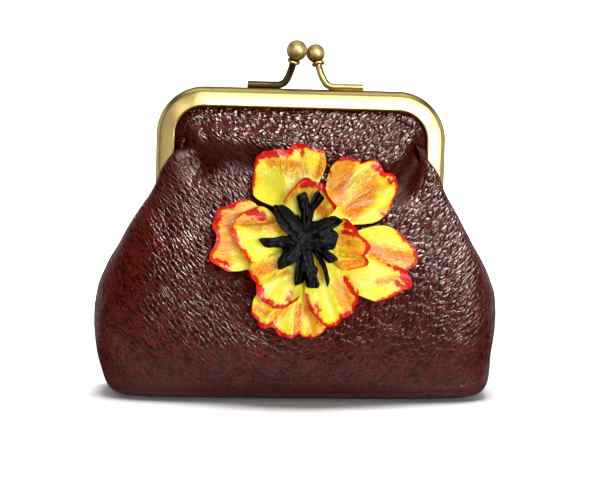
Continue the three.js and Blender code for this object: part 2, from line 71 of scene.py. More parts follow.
# Hinge
HINGE_Z = 50.5
EAR_RADIUS = 3.2
EAR_GAP = 0.3
PLATE_EDGE = 0.12  # how far the edges of the ears are eased
ARM_END_Z = HINGE_Z + EAR_RADIUS + 0.4
EAR_DEPTH = 2.6
OUTER_EAR_TOP, OUTER_EAR_PATINA = ARM_END_Z + 0.5, 0.2
INNER_EAR_TOP, INNER_EAR_PATINA = ARM_END_Z + 3, 0.35
RIVET_RADIUS = 1
RIVET_HEAD_RADIUS = 1.8
RIVET_HEAD = 0.6
RIVET_PATINA = 0.12

# Clasp
WIRE_RADIUS = 1.05
WIRE_END_ROUND, WIRE_END_STEP = 0.2, 0.25  # its end is this much thinner, over this share of its first step
WIRE_Y = 1.5
WIRE_POINTS = 71
WIRE_SIDES, BALL_SIDES, COLLAR_SIDES, RIVET_SIDES = 28, 48, 36, 32
EAR_STEPS, BALL_STEPS, COLLAR_STEPS, RIVET_STEPS = 36, 36, 12, 10  # along their round outlines
# The front arm's wire has a little patina; the back arm's wire is made dark all over.
FRONT_PATINA, BACK_WIRE_DARKENING = 0.12, 1
CLASP_OFF_CENTRE = 0.9
FRONT_BALL = (2.75, 10.6)  # radius, and height of its middle over the frame's top
BACK_BALL = (3.05, 11.4)
BALL_SATIN = 0.16  # added to the roughness of the balls
# Painted shade darkens the underside of each ball; near the collar it is patina as well.
BALL_PATINA, UNDER_BALL_SHADE_AND_PATINA = 0.14, 0.75
UNDER_BALL = (0.4, 0.9)  # painted shade darkens it between these shares of the radius below its middle, with patina by the collar
COLLAR_RADIUS = 1.95
COLLAR_HEIGHT = 1.2
COLLAR_HOLE = 0.8 * WIRE_RADIUS
COLLAR_SEAT = COLLAR_HEIGHT / 3  # how far the collar's middle lies below the ball
COLLAR_PATINA = 0.16
POLE = 88  # round ends stop at this angle, and a cap closes them
CLASP_ROUTE = [  # x and y, height over the frame's top, and share of the ball's height to add
    (17.1, -WIRE_Y, 0.95, 0),
    (12, -WIRE_Y, 0.95, 0),
    (8.2, -WIRE_Y, 0.98, 0),
    (6.4, -1.4, 1.6, 0),
    (5.4, -1.2, 2.9, 0),
    (4.3, -0.5, 0, 0.5),
    (3.6, 0.5, 0, 0.72),
    (2.75, 1.3, 0, 1),
]

# Pouch
LEATHER = 1.6
CHANNEL_Y = 4.05
EDGE_INSET = 2.8
SLIT_FOOT_Z = 46.5
SLIT_FULL_Z = 48.7
SLIT_RISE = 7
WRAP_LOW_Z = 65
WRAP_HIGH_Z = 73
FRAME_SHIFT = 1.4
FRAME_LEAN = math.radians(1.1)
LEAN_FULL_Z = 44
POUCH_ROWS = 229
NECK_COLUMNS = 21
SIDE_COLUMNS = 30
FRONT_COLUMNS = 120
SIDE_SAMPLES, FRONT_SAMPLES = 60, 200
ARM_END_INSET, ARM_END_HEIGHTS = 3.4, (ARM_END_Z - 0.6, ARM_END_Z + 3)
CORNER_WALL_Z = 79  # over this height the wall is laid straight back where it hardly faces forward
CORNER_WALL_TILT = -0.2
INNER_STEP = 3  # the inner face has one point for this many on the outside

# Horizontal sections of the pouch: height, half width at the shoulder, depth of the front face at the middle,
# depth where it is widest, how far the side seam is drawn in, and squareness of the front corners.
SECTION_COLUMNS = ("z", "half", "depth", "shoulder", "tuck", "power")
SECTIONS = [
    (0, 33, 0, 0, 0, 4),
    (0, 46.5, 14.5, 2.4, 0, 5),
    (0.3, 50, 17.8, 3.6, 0, 5),
    (1.1, 52.5, 20.2, 4.4, 0, 4.6),
    (3, 54.6, 22, 5, 0, 3.8),
    (6.5, 56.4, 23.4, 5, 0, 3),
    (12, 58, 24.7, 5.2, 0.2, 2.8),
    (18, 58.9, 25.1, 5.6, 0.6, 2.7),
    (24, 59.2, 24.9, 6, 1.6, 2.6),
    (30, 58.5, 24.4, 6.6, 3.6, 2.5),
    (36, 56.5, 23.6, 7.4, 6.4, 2.45),
    (42, 53.3, 22.4, 8.4, 9.4, 2.4),
    (SLIT_FOOT_Z, 50.6, 20.9, 9, 10.9, 2.4),
    (SLIT_FULL_Z, 49.3, 20.1, 9.2, 10.9, 2.4),
    (53, 46.8, 18.3, 9, 0, 2.4),
    (58, 43.9, 16.1, 8.6, 0, 2.4),
    (62, 41.9, 14.2, 8.2, 0, 2.5),
    (66, 40.4, 13, 7.8, 0, 2.6),
    (70, 37.6, 12.5, 7.2, 0, 2.8),
    (73, 34.6, 11.5, 6.2, 0, 3),
    (76.2, 34.4, 9.8, 5.9, 0, 3),
    (79, 33.2, 7.8, 5.9, 0, 3),
    (81.5, 28.5, 5.9, 5.9, 0, 3),
    (83.2, 28.5, 4.5, 4.5, 0, 3),
    (84.2, 28.5, 4.05, 4.05, 0, 3),
    (FRAME_TOP - EDGE_INSET, 28.5, 4.05, 4.05, 0, 3),
]
FIRST_RISING_SECTION = 1

# The neck, where the leather leaves the channel: inset from the frame's outline and depth, one row per point.
# The second pair is where the leather folds out over the frame's face.
NECK = [
    (5.3, CHANNEL_Y, 5.3, CHANNEL_Y),
    (6.3, 4.5, 6.2, 4.4),
    (7.2, 5.2, 6.5, 5),
    (8, 5.9, 6.2, 5.7),
]
SIDE_STEPS = 3
SIDE_STRAIGHT = 0.25  # share of a straight line in the fold at the side, where the rest is round
SEAM_GROOVE = 0.5
SEAM_GROOVE_WIDTH = 0.9
SEAM_FADE = 6  # the groove fades over this height below the slit

# Folds in the face: x and z of both ends, depth inwards (a ridge where it is below zero), width on the left
# and width on the right of the line.
FOLDS = [
    (36, 77, 27, 64, 2.6, 4, 4),
    (-36, 77, -29, 67, 2.4, 4, 4),
    (-29, 67, -12, 66, 1.4, 5, 5),
]
FRONT_FOLDS = [
    (35.5, 80, 26, 67.5, -1.6, 3, 1.7),
    (37, 73, 31, 62.5, 2.2, 2.6, 3),
    (37.6, 76, 36.4, 70, -0.9, 1, 1.3),
    (-33.5, 80.5, -29.5, 73.5, -0.8, 1.5, 1.1),
    (-31, 81, -26.5, 75, 0.6, 1.2, 1.2),
    (-36, 79, -34, 72, 0.6, 1.1, 1.3),
    (-31, 76.4, -4, 75, -1.1, 2.6, 3),
    (-28, 69.5, -6, 69, 0.9, 3.4, 3.4),
]
LUMPS = [(17, 0.55, 11), (8, 0.28, 12), (4, 0.1, 13)]  # size, height and seed
# Lines along which the leather is stretched and its grain is flatter: x and z of both ends, half width, width
# of the change at its edge, how much flatter and how much darker with painted shade in the fold.
SMOOTH_LINES = [
    (-27, 70, -8, 68.5, 2, 5, 0.55, 0.25),
    (37, 76, 29, 60, 2.4, 2.2, 0.7, 0.4),
    (-37.5, 79, -36, 64, 2, 4, 0.45, 0.3),
    (-34, 61, -19, 62, 7, 8, 0.3, 0.16),
]
# A corner that stands out from the rest: x, z, reach along both and how far.
CORNER_X, CORNER_Z = 52, 3.5
CORNER_REACH_X, CORNER_REACH_Z = 9, 6
CORNER_PUSH = 2.4

# Ranges over which something changes, as a start and an end.
FOLD_DEPTHS = (CHANNEL_Y + 1.5, CHANNEL_Y + 4)  # the face folds and swells once it is clear of the frame
LUMP_HEIGHTS = (0.5, 8)
GRAIN_HEIGHTS = (6, 28)
GRAIN_RELIEF = (0.5, 1.1)  # the grain gets higher over those heights
RIGHT_EDGE, LEFT_EDGE = (42, 56), (30, 54)
EDGE_RELIEF = 0.4  # it falls to this share towards both edges
FOOT_SHEEN_AND_WEAR = [(0.35, 0, 13), (0.85, 0.8, 4)]  # how much painted sheen and wear, and the heights between which that fades

# Flower
FLOWER_X = 1.8
FLOWER_Z = 48.1
PETAL_THICKNESS = 1.2
PIECE_GAP = 0.35
RIM_PAINT = 0.55
RIM_BULGE = 0.6  # how far an edge is rounded, as a share of half the thickness
WIDEST_AT = 0.85  # a petal has its full width from this share of its length
RISE_POWER = 1.5  # it rises more steeply towards its rim
PETAL_ROWS = 72
PETAL_COLUMNS = 96
PETAL_RIM_STEPS = 5
SCALLOP, SCALLOP_SIZE = 0.35, 1.7  # depth and size of the small waves in a petal's rim
PLEAT, PLEAT_SIZE = 0.2, 1.6  # height and width of its fine pleats
PLEAT_STRETCH, PLEAT_SPAN = 0.3, (0.15, 0.6)
PETAL_SEED, PETAL_SEED_STEP, STRIP_SEED = 20, 3, 60
UNPAINTED = -6.0  # the field of paint far from all strokes


def mix(first, second, share):
    return first + (second - first) * share


def ease(value, low, high):
    share = np.clip((value - low) / (high - low), 0, 1)
    return share * share * (3 - 2 * share)


def columns(*values):
    """Points or other rows from their columns, each an array or one value."""
    return np.stack(np.broadcast_arrays(*values), axis=-1)


def bell(distance, width):
    """One at no distance, and close to none from twice the width on."""
    return np.exp(-((distance / width) ** 2))


def smooth_table(keys, values, at):
    """Values between the rows of a table, on a smooth curve that never overshoots."""
    keys, values = np.asarray(keys, float), np.asarray(values, float)
    steps = np.diff(keys)
    slopes = np.diff(values) / steps
    tangents = np.zeros(len(keys))
    tangents[0], tangents[-1] = slopes[0], slopes[-1]
    rising = slopes[:-1] * slopes[1:] > 0
    before, after = slopes[:-1][rising], slopes[1:][rising]
    heavy = (2 * steps[1:] + steps[:-1])[rising]
    light = (steps[1:] + 2 * steps[:-1])[rising]
    tangents[1:-1][rising] = (heavy + light) / (heavy / before + light / after)
    index = np.clip(np.searchsorted(keys, at, side="right") - 1, 0, len(keys) - 2)
    step = steps[index]
    share = (at - keys[index]) / step
    back = 1 - share
    ends = values[index] * (1 + 2 * share) * back**2 + values[index + 1] * (3 - 2 * share) * share**2
    return ends + step * share * back * (tangents[index] * back - tangents[index + 1] * share)


LATTICE = 32


def smooth_noise(points, size, seed):
    """Smooth noise from -1 to 1, with features of about that size."""
    lattice = np.random.default_rng(seed).uniform(-1, 1, (LATTICE, LATTICE, LATTICE))
    cells = np.asarray(points, float) / size
    base = np.floor(cells).astype(int)
    share = cells - base
    share = share * share * (3 - 2 * share)
    total = np.zeros(cells.shape[:-1])
    for corner in itertools.product((0, 1), repeat=3):
        weight = np.prod(np.where(corner, share, 1 - share), axis=-1)
        x, y, z = np.moveaxis((base + corner) % LATTICE, -1, 0)
        total += weight * lattice[x, y, z]
    return total


def line_distance(x, z, x1, z1, x2, z2):
    """Distance of each place from a line between two ends."""
    dx, dz = x2 - x1, z2 - z1
    share = np.clip(((x - x1) * dx + (z - z1) * dz) / (dx * dx + dz * dz), 0, 1)
    return np.hypot(x - x1 - share * dx, z - z1 - share * dz)


def along_line(points):
    """Lengths along a line of points, from its first point."""
    steps = np.linalg.norm(np.diff(points, axis=0), axis=1)
    return np.concatenate([[0], np.cumsum(steps)])


def resample(points, count):
    """A line of points with the given number of equal steps."""
    lengths = along_line(points)
    at = np.linspace(0, lengths[-1], count + 1)
    return columns(*(np.interp(at, lengths, axis) for axis in np.transpose(points)))


def smooth_line(keys, points, at):
    """Points on a smooth curve through others, which have a key each."""
    return columns(*(smooth_table(keys, axis, at) for axis in np.transpose(points)))


def unit(vectors):
    return vectors / np.maximum(np.linalg.norm(vectors, axis=-1, keepdims=True), 1e-9)


def grid_normals(grid):
    """Normals of a grid of points, on the right of its columns as its rows go up."""
    return unit(np.cross(np.gradient(grid, axis=1), np.gradient(grid, axis=0)))


def closed(rows):
    """Rows of point numbers with the first column again at the end."""
    return np.concatenate([rows, rows[:, :1]], axis=1)


class Shell:
    """The points, faces and per-point values of one mesh, gathered from grids of points."""

    def __init__(self, *layers):
        self.points = []
        self.faces = []
        self.layers = {name: [] for name in layers}
        self.count = 0

    def add(self, grid, **values):
        """Adds points and returns their numbers in the same shape."""
        shape = grid.shape[:-1]
        numbers = np.arange(self.count, self.count + math.prod(shape)).reshape(shape)
        self.count += numbers.size
        self.points.append(grid.reshape(-1, 3))
        for name, layer in self.layers.items():
            value = np.broadcast_to(np.asarray(values[name], float), grid.shape)
            layer.append(value.reshape(-1, 3))
        return numbers

    def quads(self, numbers, flip=False):
        corners = [numbers[:-1, :-1], numbers[:-1, 1:], numbers[1:, 1:], numbers[1:, :-1]]
        if flip:
            corners.reverse()
        self.faces.extend(columns(*corners).reshape(-1, 4).tolist())

    def cap(self, ring, flip=False):
        ring = list(ring)
        self.faces.append(ring[::-1] if flip else ring)

    def tube(self, rings, flip=False, **values):
        """A closed tube of rings with a cap at each end."""
        numbers = self.add(rings, **values)
        self.quads(closed(numbers), flip)
        self.cap(numbers[0], not flip)
        self.cap(numbers[-1], flip)

    def stitch(self, fine, coarse, step, flip=False):
        """Joins a fine line to a coarse one that has a point for each step of it."""
        for i in range(len(coarse) - 1):
            self.cap([*fine[i * step : (i + 1) * step + 1], coarse[i + 1], coarse[i]], flip)


def new_object(name, data):
    made = bpy.data.objects.new(name, data)
    bpy.context.scene.collection.objects.link(made)
    return made


def make_piece(name, shell, material, nodes, sharp_angle):
    """Makes a mesh object from a shell. It rides on the part's body and stands for its solids."""
    mesh = bpy.data.meshes.new(name)
    mesh.from_pydata((np.concatenate(shell.points) * MM).tolist(), [], shell.faces)
    for layer, values in shell.layers.items():
        attribute = mesh.attributes.new(layer, "FLOAT_VECTOR", "POINT")
        attribute.data.foreach_set("vector", np.concatenate(values).ravel().astype(np.float32))
    mesh.shade_smooth()
    mesh.set_sharp_from_angle(angle=math.radians(sharp_angle))
    mesh.materials.append(material)
    piece = new_object(name, mesh)
    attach(piece, "root")
    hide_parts(*nodes)
    return piece


def opaque(colour):
    """A colour with its alpha, or the node's output that gives it."""
    return colour if isinstance(colour, bpy.types.NodeSocket) else (*colour, 1)


class Nodes:
    """A node tree that is filled with few words."""

    def __init__(self, tree):
        self.tree = tree
        self.tree.nodes.clear()

    def add(self, kind, inputs=None, **settings):
        node = self.tree.nodes.new(kind)
        for name, value in settings.items():
            setattr(node, name, value)
        for key, value in (inputs or {}).items():
            if isinstance(value, bpy.types.NodeSocket):
                self.tree.links.new(value, node.inputs[key])
            else:
                node.inputs[key].default_value = value
        return node

    def layer(self, name):
        return self.add("ShaderNodeAttribute", attribute_name=name).outputs["Vector"]

    def parts(self, vector):
        return self.add("ShaderNodeSeparateXYZ", {0: vector}).outputs

    def object_place(self):
        return self.add("ShaderNodeTexCoord").outputs["Object"]

    def math(self, operation, *values, clamp=False):
        inputs = dict(enumerate(values))
        return self.add("ShaderNodeMath", inputs, operation=operation, use_clamp=clamp).outputs[0]

    def times(self, first, second, clamp=False):
        return self.math("MULTIPLY", first, second, clamp=clamp)

    def plus(self, first, second, clamp=False):
        return self.math("ADD", first, second, clamp=clamp)

    def vector_math(self, operation, first, second):
        key = 3 if operation == "SCALE" else 1
        return self.add("ShaderNodeVectorMath", {0: first, key: second}, operation=operation).outputs[0]

    def noise(self, vector, scale, detail=2, roughness=0.5, output="Fac"):
        inputs = {"Vector": vector, "Scale": scale, "Detail": detail, "Roughness": roughness}
        return self.add("ShaderNodeTexNoise", inputs).outputs[output]

    def stretched_noise(self, vector, scales, detail, roughness=0.5):
        return self.noise(self.vector_math("MULTIPLY", vector, scales), 1, detail, roughness)

    def cell_edges(self, vector, scale, randomness):
        """Distance from the nearest edge between cells."""
        inputs = {"Vector": vector, "Scale": scale, "Randomness": randomness}
        return self.add("ShaderNodeTexVoronoi", inputs, feature="DISTANCE_TO_EDGE").outputs["Distance"]

    def between(self, value, low, high, to_low=0, to_high=1):
        """The value's place between two limits, eased."""
        inputs = {"Value": value, "From Min": low, "From Max": high, "To Min": to_low, "To Max": to_high}
        return self.add("ShaderNodeMapRange", inputs, interpolation_type="SMOOTHSTEP").outputs["Result"]

    def blend(self, share, first, second):
        inputs = {0: share, 6: opaque(first), 7: opaque(second)}
        return self.add("ShaderNodeMix", inputs, data_type="RGBA").outputs[2]

    def bump(self, height, distance):
        return self.add("ShaderNodeBump", {"Height": height, "Distance": distance * MM}).outputs[0]

    def finish(self, **inputs):
        named = {key.replace("_", " "): value for key, value in inputs.items()}
        shader = self.add("ShaderNodeBsdfPrincipled", named)
        self.add("ShaderNodeOutputMaterial", {"Surface": shader.outputs[0]})


def new_material(name):
    material = bpy.data.materials.new(name)
    material.use_nodes = True
    return material, Nodes(material.node_tree)


GRAIN_SIZE = 1.6
GRAIN_STRETCH = 1.3  # the pebbles are longer than they are high
GRAIN_FAN = 0.7  # their lines rise towards both sides by this much
GRAIN_FAN_START = 12
GRAIN_WANDER, GRAIN_WANDER_SCALE = 1.4, 0.4  # how far the lines between pebbles stray
GRAIN_RANDOMNESS = 0.9
PEBBLE_HEIGHT = 0.24
PEBBLE_SLOPE = 3
CRUMB_HEIGHT, CRUMB_SCALE = 0.3, 2.2  # fine crumbs, as a share of the pebbles' height
WRINKLE_HEIGHT, WRINKLE_SCALES = 2.5, (0.1, 1.1, 1)  # where the foot is worn, under its painted sheen
FLECK_SCALE, FLECK_SPAN = 1300, (0.53, 0.76)
LEATHER_ROUGHNESS, SHADE_ROUGHNESS = (0.27, 0.2), 0.7  # between pebbles, on them, and added where shade is painted
LEATHER_GLOSS = (0.28, 0.04)  # in the open and where shade is painted
LEATHER_DARK = (0.03, 0.0058, 0.0036)
LEATHER_BROWN = (0.064, 0.0125, 0.0075)
LEATHER_RED = (0.125, 0.011, 0.0085)
LEATHER_PAINTED_SHADE = (0.034, 0.007, 0.005)  # painted shade, for deep folds that face away from the light
LEATHER_FOOT_SHEEN = (0.075, 0.043, 0.045)  # painted sheen along the foot, standing for the white floor's reflection


def leather_material():
    """Pebbled leather: dark brown pebbles with red flecks between them and a satin gloss, with painted shade
    in deep folds and a painted sheen along the foot.
    """
    material, nodes = new_material("pebbled_leather")
    grain = nodes.layer("grain")
    relief, wear_and_sheen, painted_shade = nodes.parts(nodes.layer("state"))
    wander = nodes.noise(grain, GRAIN_WANDER_SCALE, output="Color")
    wander = nodes.vector_math("SUBTRACT", wander, (0.5, 0.5, 0.5))
    place = nodes.vector_math("ADD", grain, nodes.vector_math("SCALE", wander, GRAIN_WANDER))
    edge = nodes.cell_edges(place, 1 / GRAIN_SIZE, GRAIN_RANDOMNESS)
    ramp = nodes.times(edge, PEBBLE_SLOPE, clamp=True)
    pebble = nodes.times(ramp, nodes.between(ramp, 0, 1, 1.5, 1))
    crumb = nodes.noise(place, CRUMB_SCALE)
    broad = nodes.noise(grain, 0.09, 3)
    valley = nodes.between(edge, 0.02, 0.18, -0.15, 0.1)
    fleck = nodes.math("SUBTRACT", nodes.noise(nodes.object_place(), FLECK_SCALE, 3), valley)
    fleck = nodes.plus(fleck, nodes.between(broad, 0.3, 0.7, -0.03, 0.03))
    top = nodes.between(nodes.noise(grain, 0.5, 3), 0.35, 0.68)
    colour = nodes.blend(top, LEATHER_DARK, LEATHER_BROWN)
    colour = nodes.blend(nodes.between(fleck, *FLECK_SPAN), colour, LEATHER_RED)
    # Painted shade: deep folds are darkened in the colour itself.
    colour = nodes.blend(painted_shade, colour, LEATHER_PAINTED_SHADE)
    # Painted sheen: the foot is tinted grey as if it reflected the floor.
    colour = nodes.blend(wear_and_sheen, colour, LEATHER_FOOT_SHEEN)
    height = nodes.times(nodes.plus(pebble, nodes.times(crumb, CRUMB_HEIGHT)), relief)
    wrinkle = nodes.stretched_noise(grain, WRINKLE_SCALES, 3)
    height = nodes.plus(height, nodes.times(wrinkle, nodes.times(wear_and_sheen, WRINKLE_HEIGHT)))
    roughness = nodes.between(pebble, 0, 1, *LEATHER_ROUGHNESS)
    nodes.finish(
        Base_Color=colour,
        Roughness=nodes.plus(roughness, nodes.times(painted_shade, SHADE_ROUGHNESS)),
        Specular_IOR_Level=nodes.between(painted_shade, 0, 0.5, *LEATHER_GLOSS),
        Normal=nodes.bump(height, PEBBLE_HEIGHT),
    )
    return material


BRASS_BRIGHT = (0.57, 0.425, 0.16)
BRASS_DARK = (0.045, 0.035, 0.02)
BRASS_ROUGHNESS = (0.3, 0.36)  # bright and dark
PATINA_CLOUD_SCALE, PATINA_SPECK_SCALE = 260, 1500
BRUSH_HEIGHT, BRUSH_SCALES = 0.004, (900, 900, 4200)  # fine level brush marks


def brass_material():
    """Antique brass: satin, rubbed bright where it is handled and brown where it is not, with painted shade
    under the balls.
    """
    material, nodes = new_material("antique_brass")
    patina_and_shade, satin, _ = nodes.parts(nodes.layer("wear"))
    place = nodes.object_place()
    cloud = nodes.noise(place, PATINA_CLOUD_SCALE, 4)
    speck = nodes.noise(place, PATINA_SPECK_SCALE, 3)
    cover = nodes.plus(patina_and_shade, nodes.between(cloud, 0.45, 0.75, -0.1, 0.14))
    cover = nodes.plus(cover, nodes.between(speck, 0.55, 0.8, 0, 0.12), clamp=True)
    nodes.finish(
        Base_Color=nodes.blend(cover, BRASS_BRIGHT, BRASS_DARK),
        Metallic=1.0,
        Roughness=nodes.plus(nodes.between(cover, 0, 1, *BRASS_ROUGHNESS), satin),
        Normal=nodes.bump(nodes.stretched_noise(place, BRUSH_SCALES, 3), BRUSH_HEIGHT),
    )
    return material


PETAL_YELLOW = (0.95, 0.86, 0.03)
PETAL_PALE = (0.98, 0.93, 0.12)
PETAL_ORANGE = (0.95, 0.4, 0.02)
PETAL_BROWN = (0.66, 0.09, 0.008)
PETAL_RED = (0.74, 0.008, 0.006)
PETAL_CRIMSON = (0.55, 0.008, 0.008)
PETAL_ROUGHNESS = (0.16, 0.4)
PETAL_RELIEF = 0.3
STREAK_SCALES, SCRIBBLE_SCALES = (0.25, 1.3, 1), (0.55, 1.2, 1)  # along and across a petal
HAIR_SCALES = (0.5, 2.2, 1)
NOISE_SPAN = (0.25, 0.75)  # most of a noise lies between these


def petal_material():
    """Painted leather: yellow with soft orange washes, scratchy red-brown lines and thick red paint."""
    material, nodes = new_material("painted_petal")
    leaf = nodes.layer("leaf")
    red, orange, brown = nodes.parts(nodes.layer("paint"))
    streaks = nodes.stretched_noise(leaf, STREAK_SCALES, 4, 0.6)
    scribble = nodes.stretched_noise(leaf, SCRIBBLE_SCALES, 5, 0.7)
    hair = nodes.stretched_noise(leaf, HAIR_SCALES, 4, 0.7)
    ragged = nodes.noise(leaf, 0.8, 3)
    fine = nodes.noise(leaf, 2.6, 3)
    cloud = nodes.between(nodes.noise(leaf, 0.3, 3), 0.35, 0.7)
    colour = nodes.blend(cloud, PETAL_YELLOW, PETAL_PALE)
    wash = nodes.plus(orange, nodes.between(streaks, *NOISE_SPAN, -0.8, 0.8))
    wash = nodes.plus(wash, nodes.between(scribble, *NOISE_SPAN, -0.7, 0.7))
    colour = nodes.blend(nodes.between(wash, -1.1, 1.2, 0, 0.95), colour, PETAL_ORANGE)
    line = nodes.math("ABSOLUTE", nodes.math("SUBTRACT", scribble, 0.5))
    drawn = nodes.times(nodes.between(line, 0.01, 0.06, 1, 0), nodes.between(brown, -1.6, 0.1))
    dry = nodes.times(nodes.between(hair, 0.55, 0.63), nodes.between(orange, -2.2, 0.6, 0.25, 0.9))
    speck = nodes.between(nodes.noise(leaf, 2.2), 0.68, 0.74, 0, 0.7)
    for share in (nodes.times(drawn, 0.9), dry, speck):
        colour = nodes.blend(share, colour, PETAL_BROWN)
    edge = nodes.plus(red, nodes.between(ragged, *NOISE_SPAN, -0.5, 0.5))
    edge = nodes.plus(edge, nodes.between(fine, *NOISE_SPAN, -0.22, 0.22))
    colour = nodes.blend(nodes.between(edge, -1.2, 0.1, 0, 0.7), colour, PETAL_ORANGE)
    paint = nodes.blend(nodes.between(scribble, 0.4, 0.7), PETAL_RED, PETAL_CRIMSON)
    colour = nodes.blend(nodes.between(edge, -0.1, 0.1), colour, paint)
    nodes.finish(
        Base_Color=colour,
        Roughness=nodes.between(ragged, *NOISE_SPAN, *PETAL_ROUGHNESS),
        Specular_IOR_Level=0.45,
        Normal=nodes.bump(nodes.plus(streaks, nodes.times(fine, 0.14)), PETAL_RELIEF),
    )
    return material


STAMEN_BLACK = (0.002, 0.002, 0.002)
STAMEN_GREY = (0.007, 0.0068, 0.0066)
STAMEN_ROUGHNESS = (0.35, 0.6)
STAMEN_RELIEF = 0.3
STAMEN_GRAIN_SCALE, STAMEN_CLOUD_SCALE = 1400, 240


def stamen_material():
    """Black leather with a faint grain and a dull sheen along its folds."""
    material, nodes = new_material("black_leather")
    grain = nodes.noise(nodes.object_place(), STAMEN_GRAIN_SCALE, 4)
    cloud = nodes.noise(nodes.object_place(), STAMEN_CLOUD_SCALE, 3)
    nodes.finish(
        Base_Color=nodes.blend(nodes.between(cloud, 0.3, 0.7), STAMEN_BLACK, STAMEN_GREY),
        Roughness=nodes.between(grain, 0.3, 0.7, *STAMEN_ROUGHNESS),
        Specular_IOR_Level=0.22,
        Normal=nodes.bump(nodes.plus(grain, nodes.times(cloud, 2)), STAMEN_RELIEF),
    )
    return material


def lean(points):
    """Moves points with the frame's shift and lean, which fade out towards the base."""
    x, y, z = np.moveaxis(points, -1, 0)
    share = ease(z, 0, LEAN_FULL_Z)
    angle = FRAME_LEAN * share
    up = z - HINGE_Z
    moved = FRAME_SHIFT * share + x * np.cos(angle) + up * np.sin(angle) * share
    sunk = mix(z, HINGE_Z + up * np.cos(angle) - x * np.sin(angle), share)
    return columns(moved, y, sunk)


def fold_depth(folds, x, z):
    """How far the folds draw the face in at each place."""
    total = np.zeros(np.broadcast(x, z).shape)
    for x1, z1, x2, z2, depth, left, right in folds:
        on_left = (x2 - x1) * (z - z1) > (z2 - z1) * (x - x1)
        width = np.where(on_left, left, right)
        total += depth * bell(line_distance(x, z, x1, z1, x2, z2), width)
    return total


def face_depth(section, x):
    """Depth of the front face between the shoulders."""
    share = np.minimum(1, np.abs(x) / section["half"])
    bulge = (1 - share ** section["power"]) ** (1 / section["power"])
    return mix(section["shoulder"], section["depth"], bulge)


def sections_at(keys, at, first=0):
    table = zip(SECTION_COLUMNS, np.transpose(SECTIONS[first:]))
    return {name: smooth_table(keys, column, at) for name, column in table}


def frame_half_width(z, inset):
    up = max(0, z - (FRAME_TOP - CORNER_RADIUS))
    return FRAME_SIDE - CORNER_RADIUS + math.sqrt(max(0, (CORNER_RADIUS - inset) ** 2 - up * up))


def side_line(section, start, shares):
    """The fold between the neck or the seam and the shoulder."""
    angles = shares * math.pi / 2
    turn = SIDE_STRAIGHT * shares + (1 - SIDE_STRAIGHT) * (1 - np.cos(angles))
    x = mix(start[0], section["half"], np.sin(angles))
    return columns(x, mix(start[1], section["shoulder"], turn))


def front_line(section):
    """The front from the shoulder to the middle."""
    x = section["half"] * np.cos(np.linspace(0, math.pi / 2, FRONT_SAMPLES))
    x[-1] = 0
    return columns(x, face_depth(section, x))


def join_half(section, neck, side):
    """Half a section from its neck, its side and its front, each in its own number of steps."""
    front = resample(front_line(section), FRONT_COLUMNS)
    return np.concatenate([neck[:-1], resample(side, SIDE_COLUMNS)[:-1], front])


def open_half(section):
    """Half a section above the slit's foot: from the cut edge over neck and shoulder to the middle."""
    z = section["z"]
    opened = min(1, math.sqrt(max(0, z - SLIT_FOOT_Z) / SLIT_RISE))
    fold = 1 - ease(z, WRAP_LOW_Z, WRAP_HIGH_Z)
    edge = mix(ARM_END_INSET, EDGE_INSET, ease(z, *ARM_END_HEIGHTS))
    points = [(frame_half_width(z, edge), CHANNEL_Y * opened)]
    for inset, y, fold_inset, fold_y in NECK:
        depth = min(mix(y, fold_y, fold), max(CHANNEL_Y, section["shoulder"]))
        points.append((frame_half_width(z, mix(inset, fold_inset, fold)), depth * opened))
    places = np.linspace(0, len(NECK), NECK_COLUMNS + 1)
    neck = smooth_line(range(len(points)), points, places)
    return join_half(section, neck, side_line(section, points[-1], np.linspace(0, 1, SIDE_SAMPLES)))


def closed_half(section):
    """Half a section at or below the slit's foot: from the seam over the shoulder to the middle."""
    start = (section["half"] - section["tuck"], 0)
    neck_share = len(NECK) / (len(NECK) + SIDE_STEPS)
    neck = side_line(section, start, np.linspace(0, neck_share, NECK_COLUMNS + 1))
    return join_half(section, neck, side_line(section, start, np.linspace(neck_share, 1, SIDE_SAMPLES)))


def pouch_halves():
    """Rows of half sections from the middle of the base to the mouth, with the length up the middle."""
    heights, _, depths, *_ = np.transpose(SECTIONS)
    keys = along_line(columns(heights, depths))
    at = np.linspace(0, keys[-1], POUCH_ROWS)
    table = sections_at(keys, at)
    slit_rows = (row for row in SECTIONS if row[0] in (SLIT_FOOT_Z, SLIT_FULL_Z))
    foot, full = (dict(zip(SECTION_COLUMNS, row)) for row in slit_rows)
    slit_ends = closed_half(foot), open_half(full)
    rows = []
    for values in zip(*table.values()):
        section = dict(zip(SECTION_COLUMNS, values))
        if section["z"] <= SLIT_FOOT_Z:
            rows.append(closed_half(section))
        elif section["z"] < SLIT_FULL_Z:
            rows.append(mix(*slit_ends, (section["z"] - SLIT_FOOT_Z) / (SLIT_FULL_Z - SLIT_FOOT_Z)))
        else:
            rows.append(open_half(section))
    return np.stack(rows), table["z"][:, None], at[:, None]


def whole_rows(halves, sign):
    """Rows from the left edge to the right edge, from rows that run from the right edge to the middle."""
    return np.concatenate([halves[:, :-1] * sign, halves[:, ::-1]], axis=1)


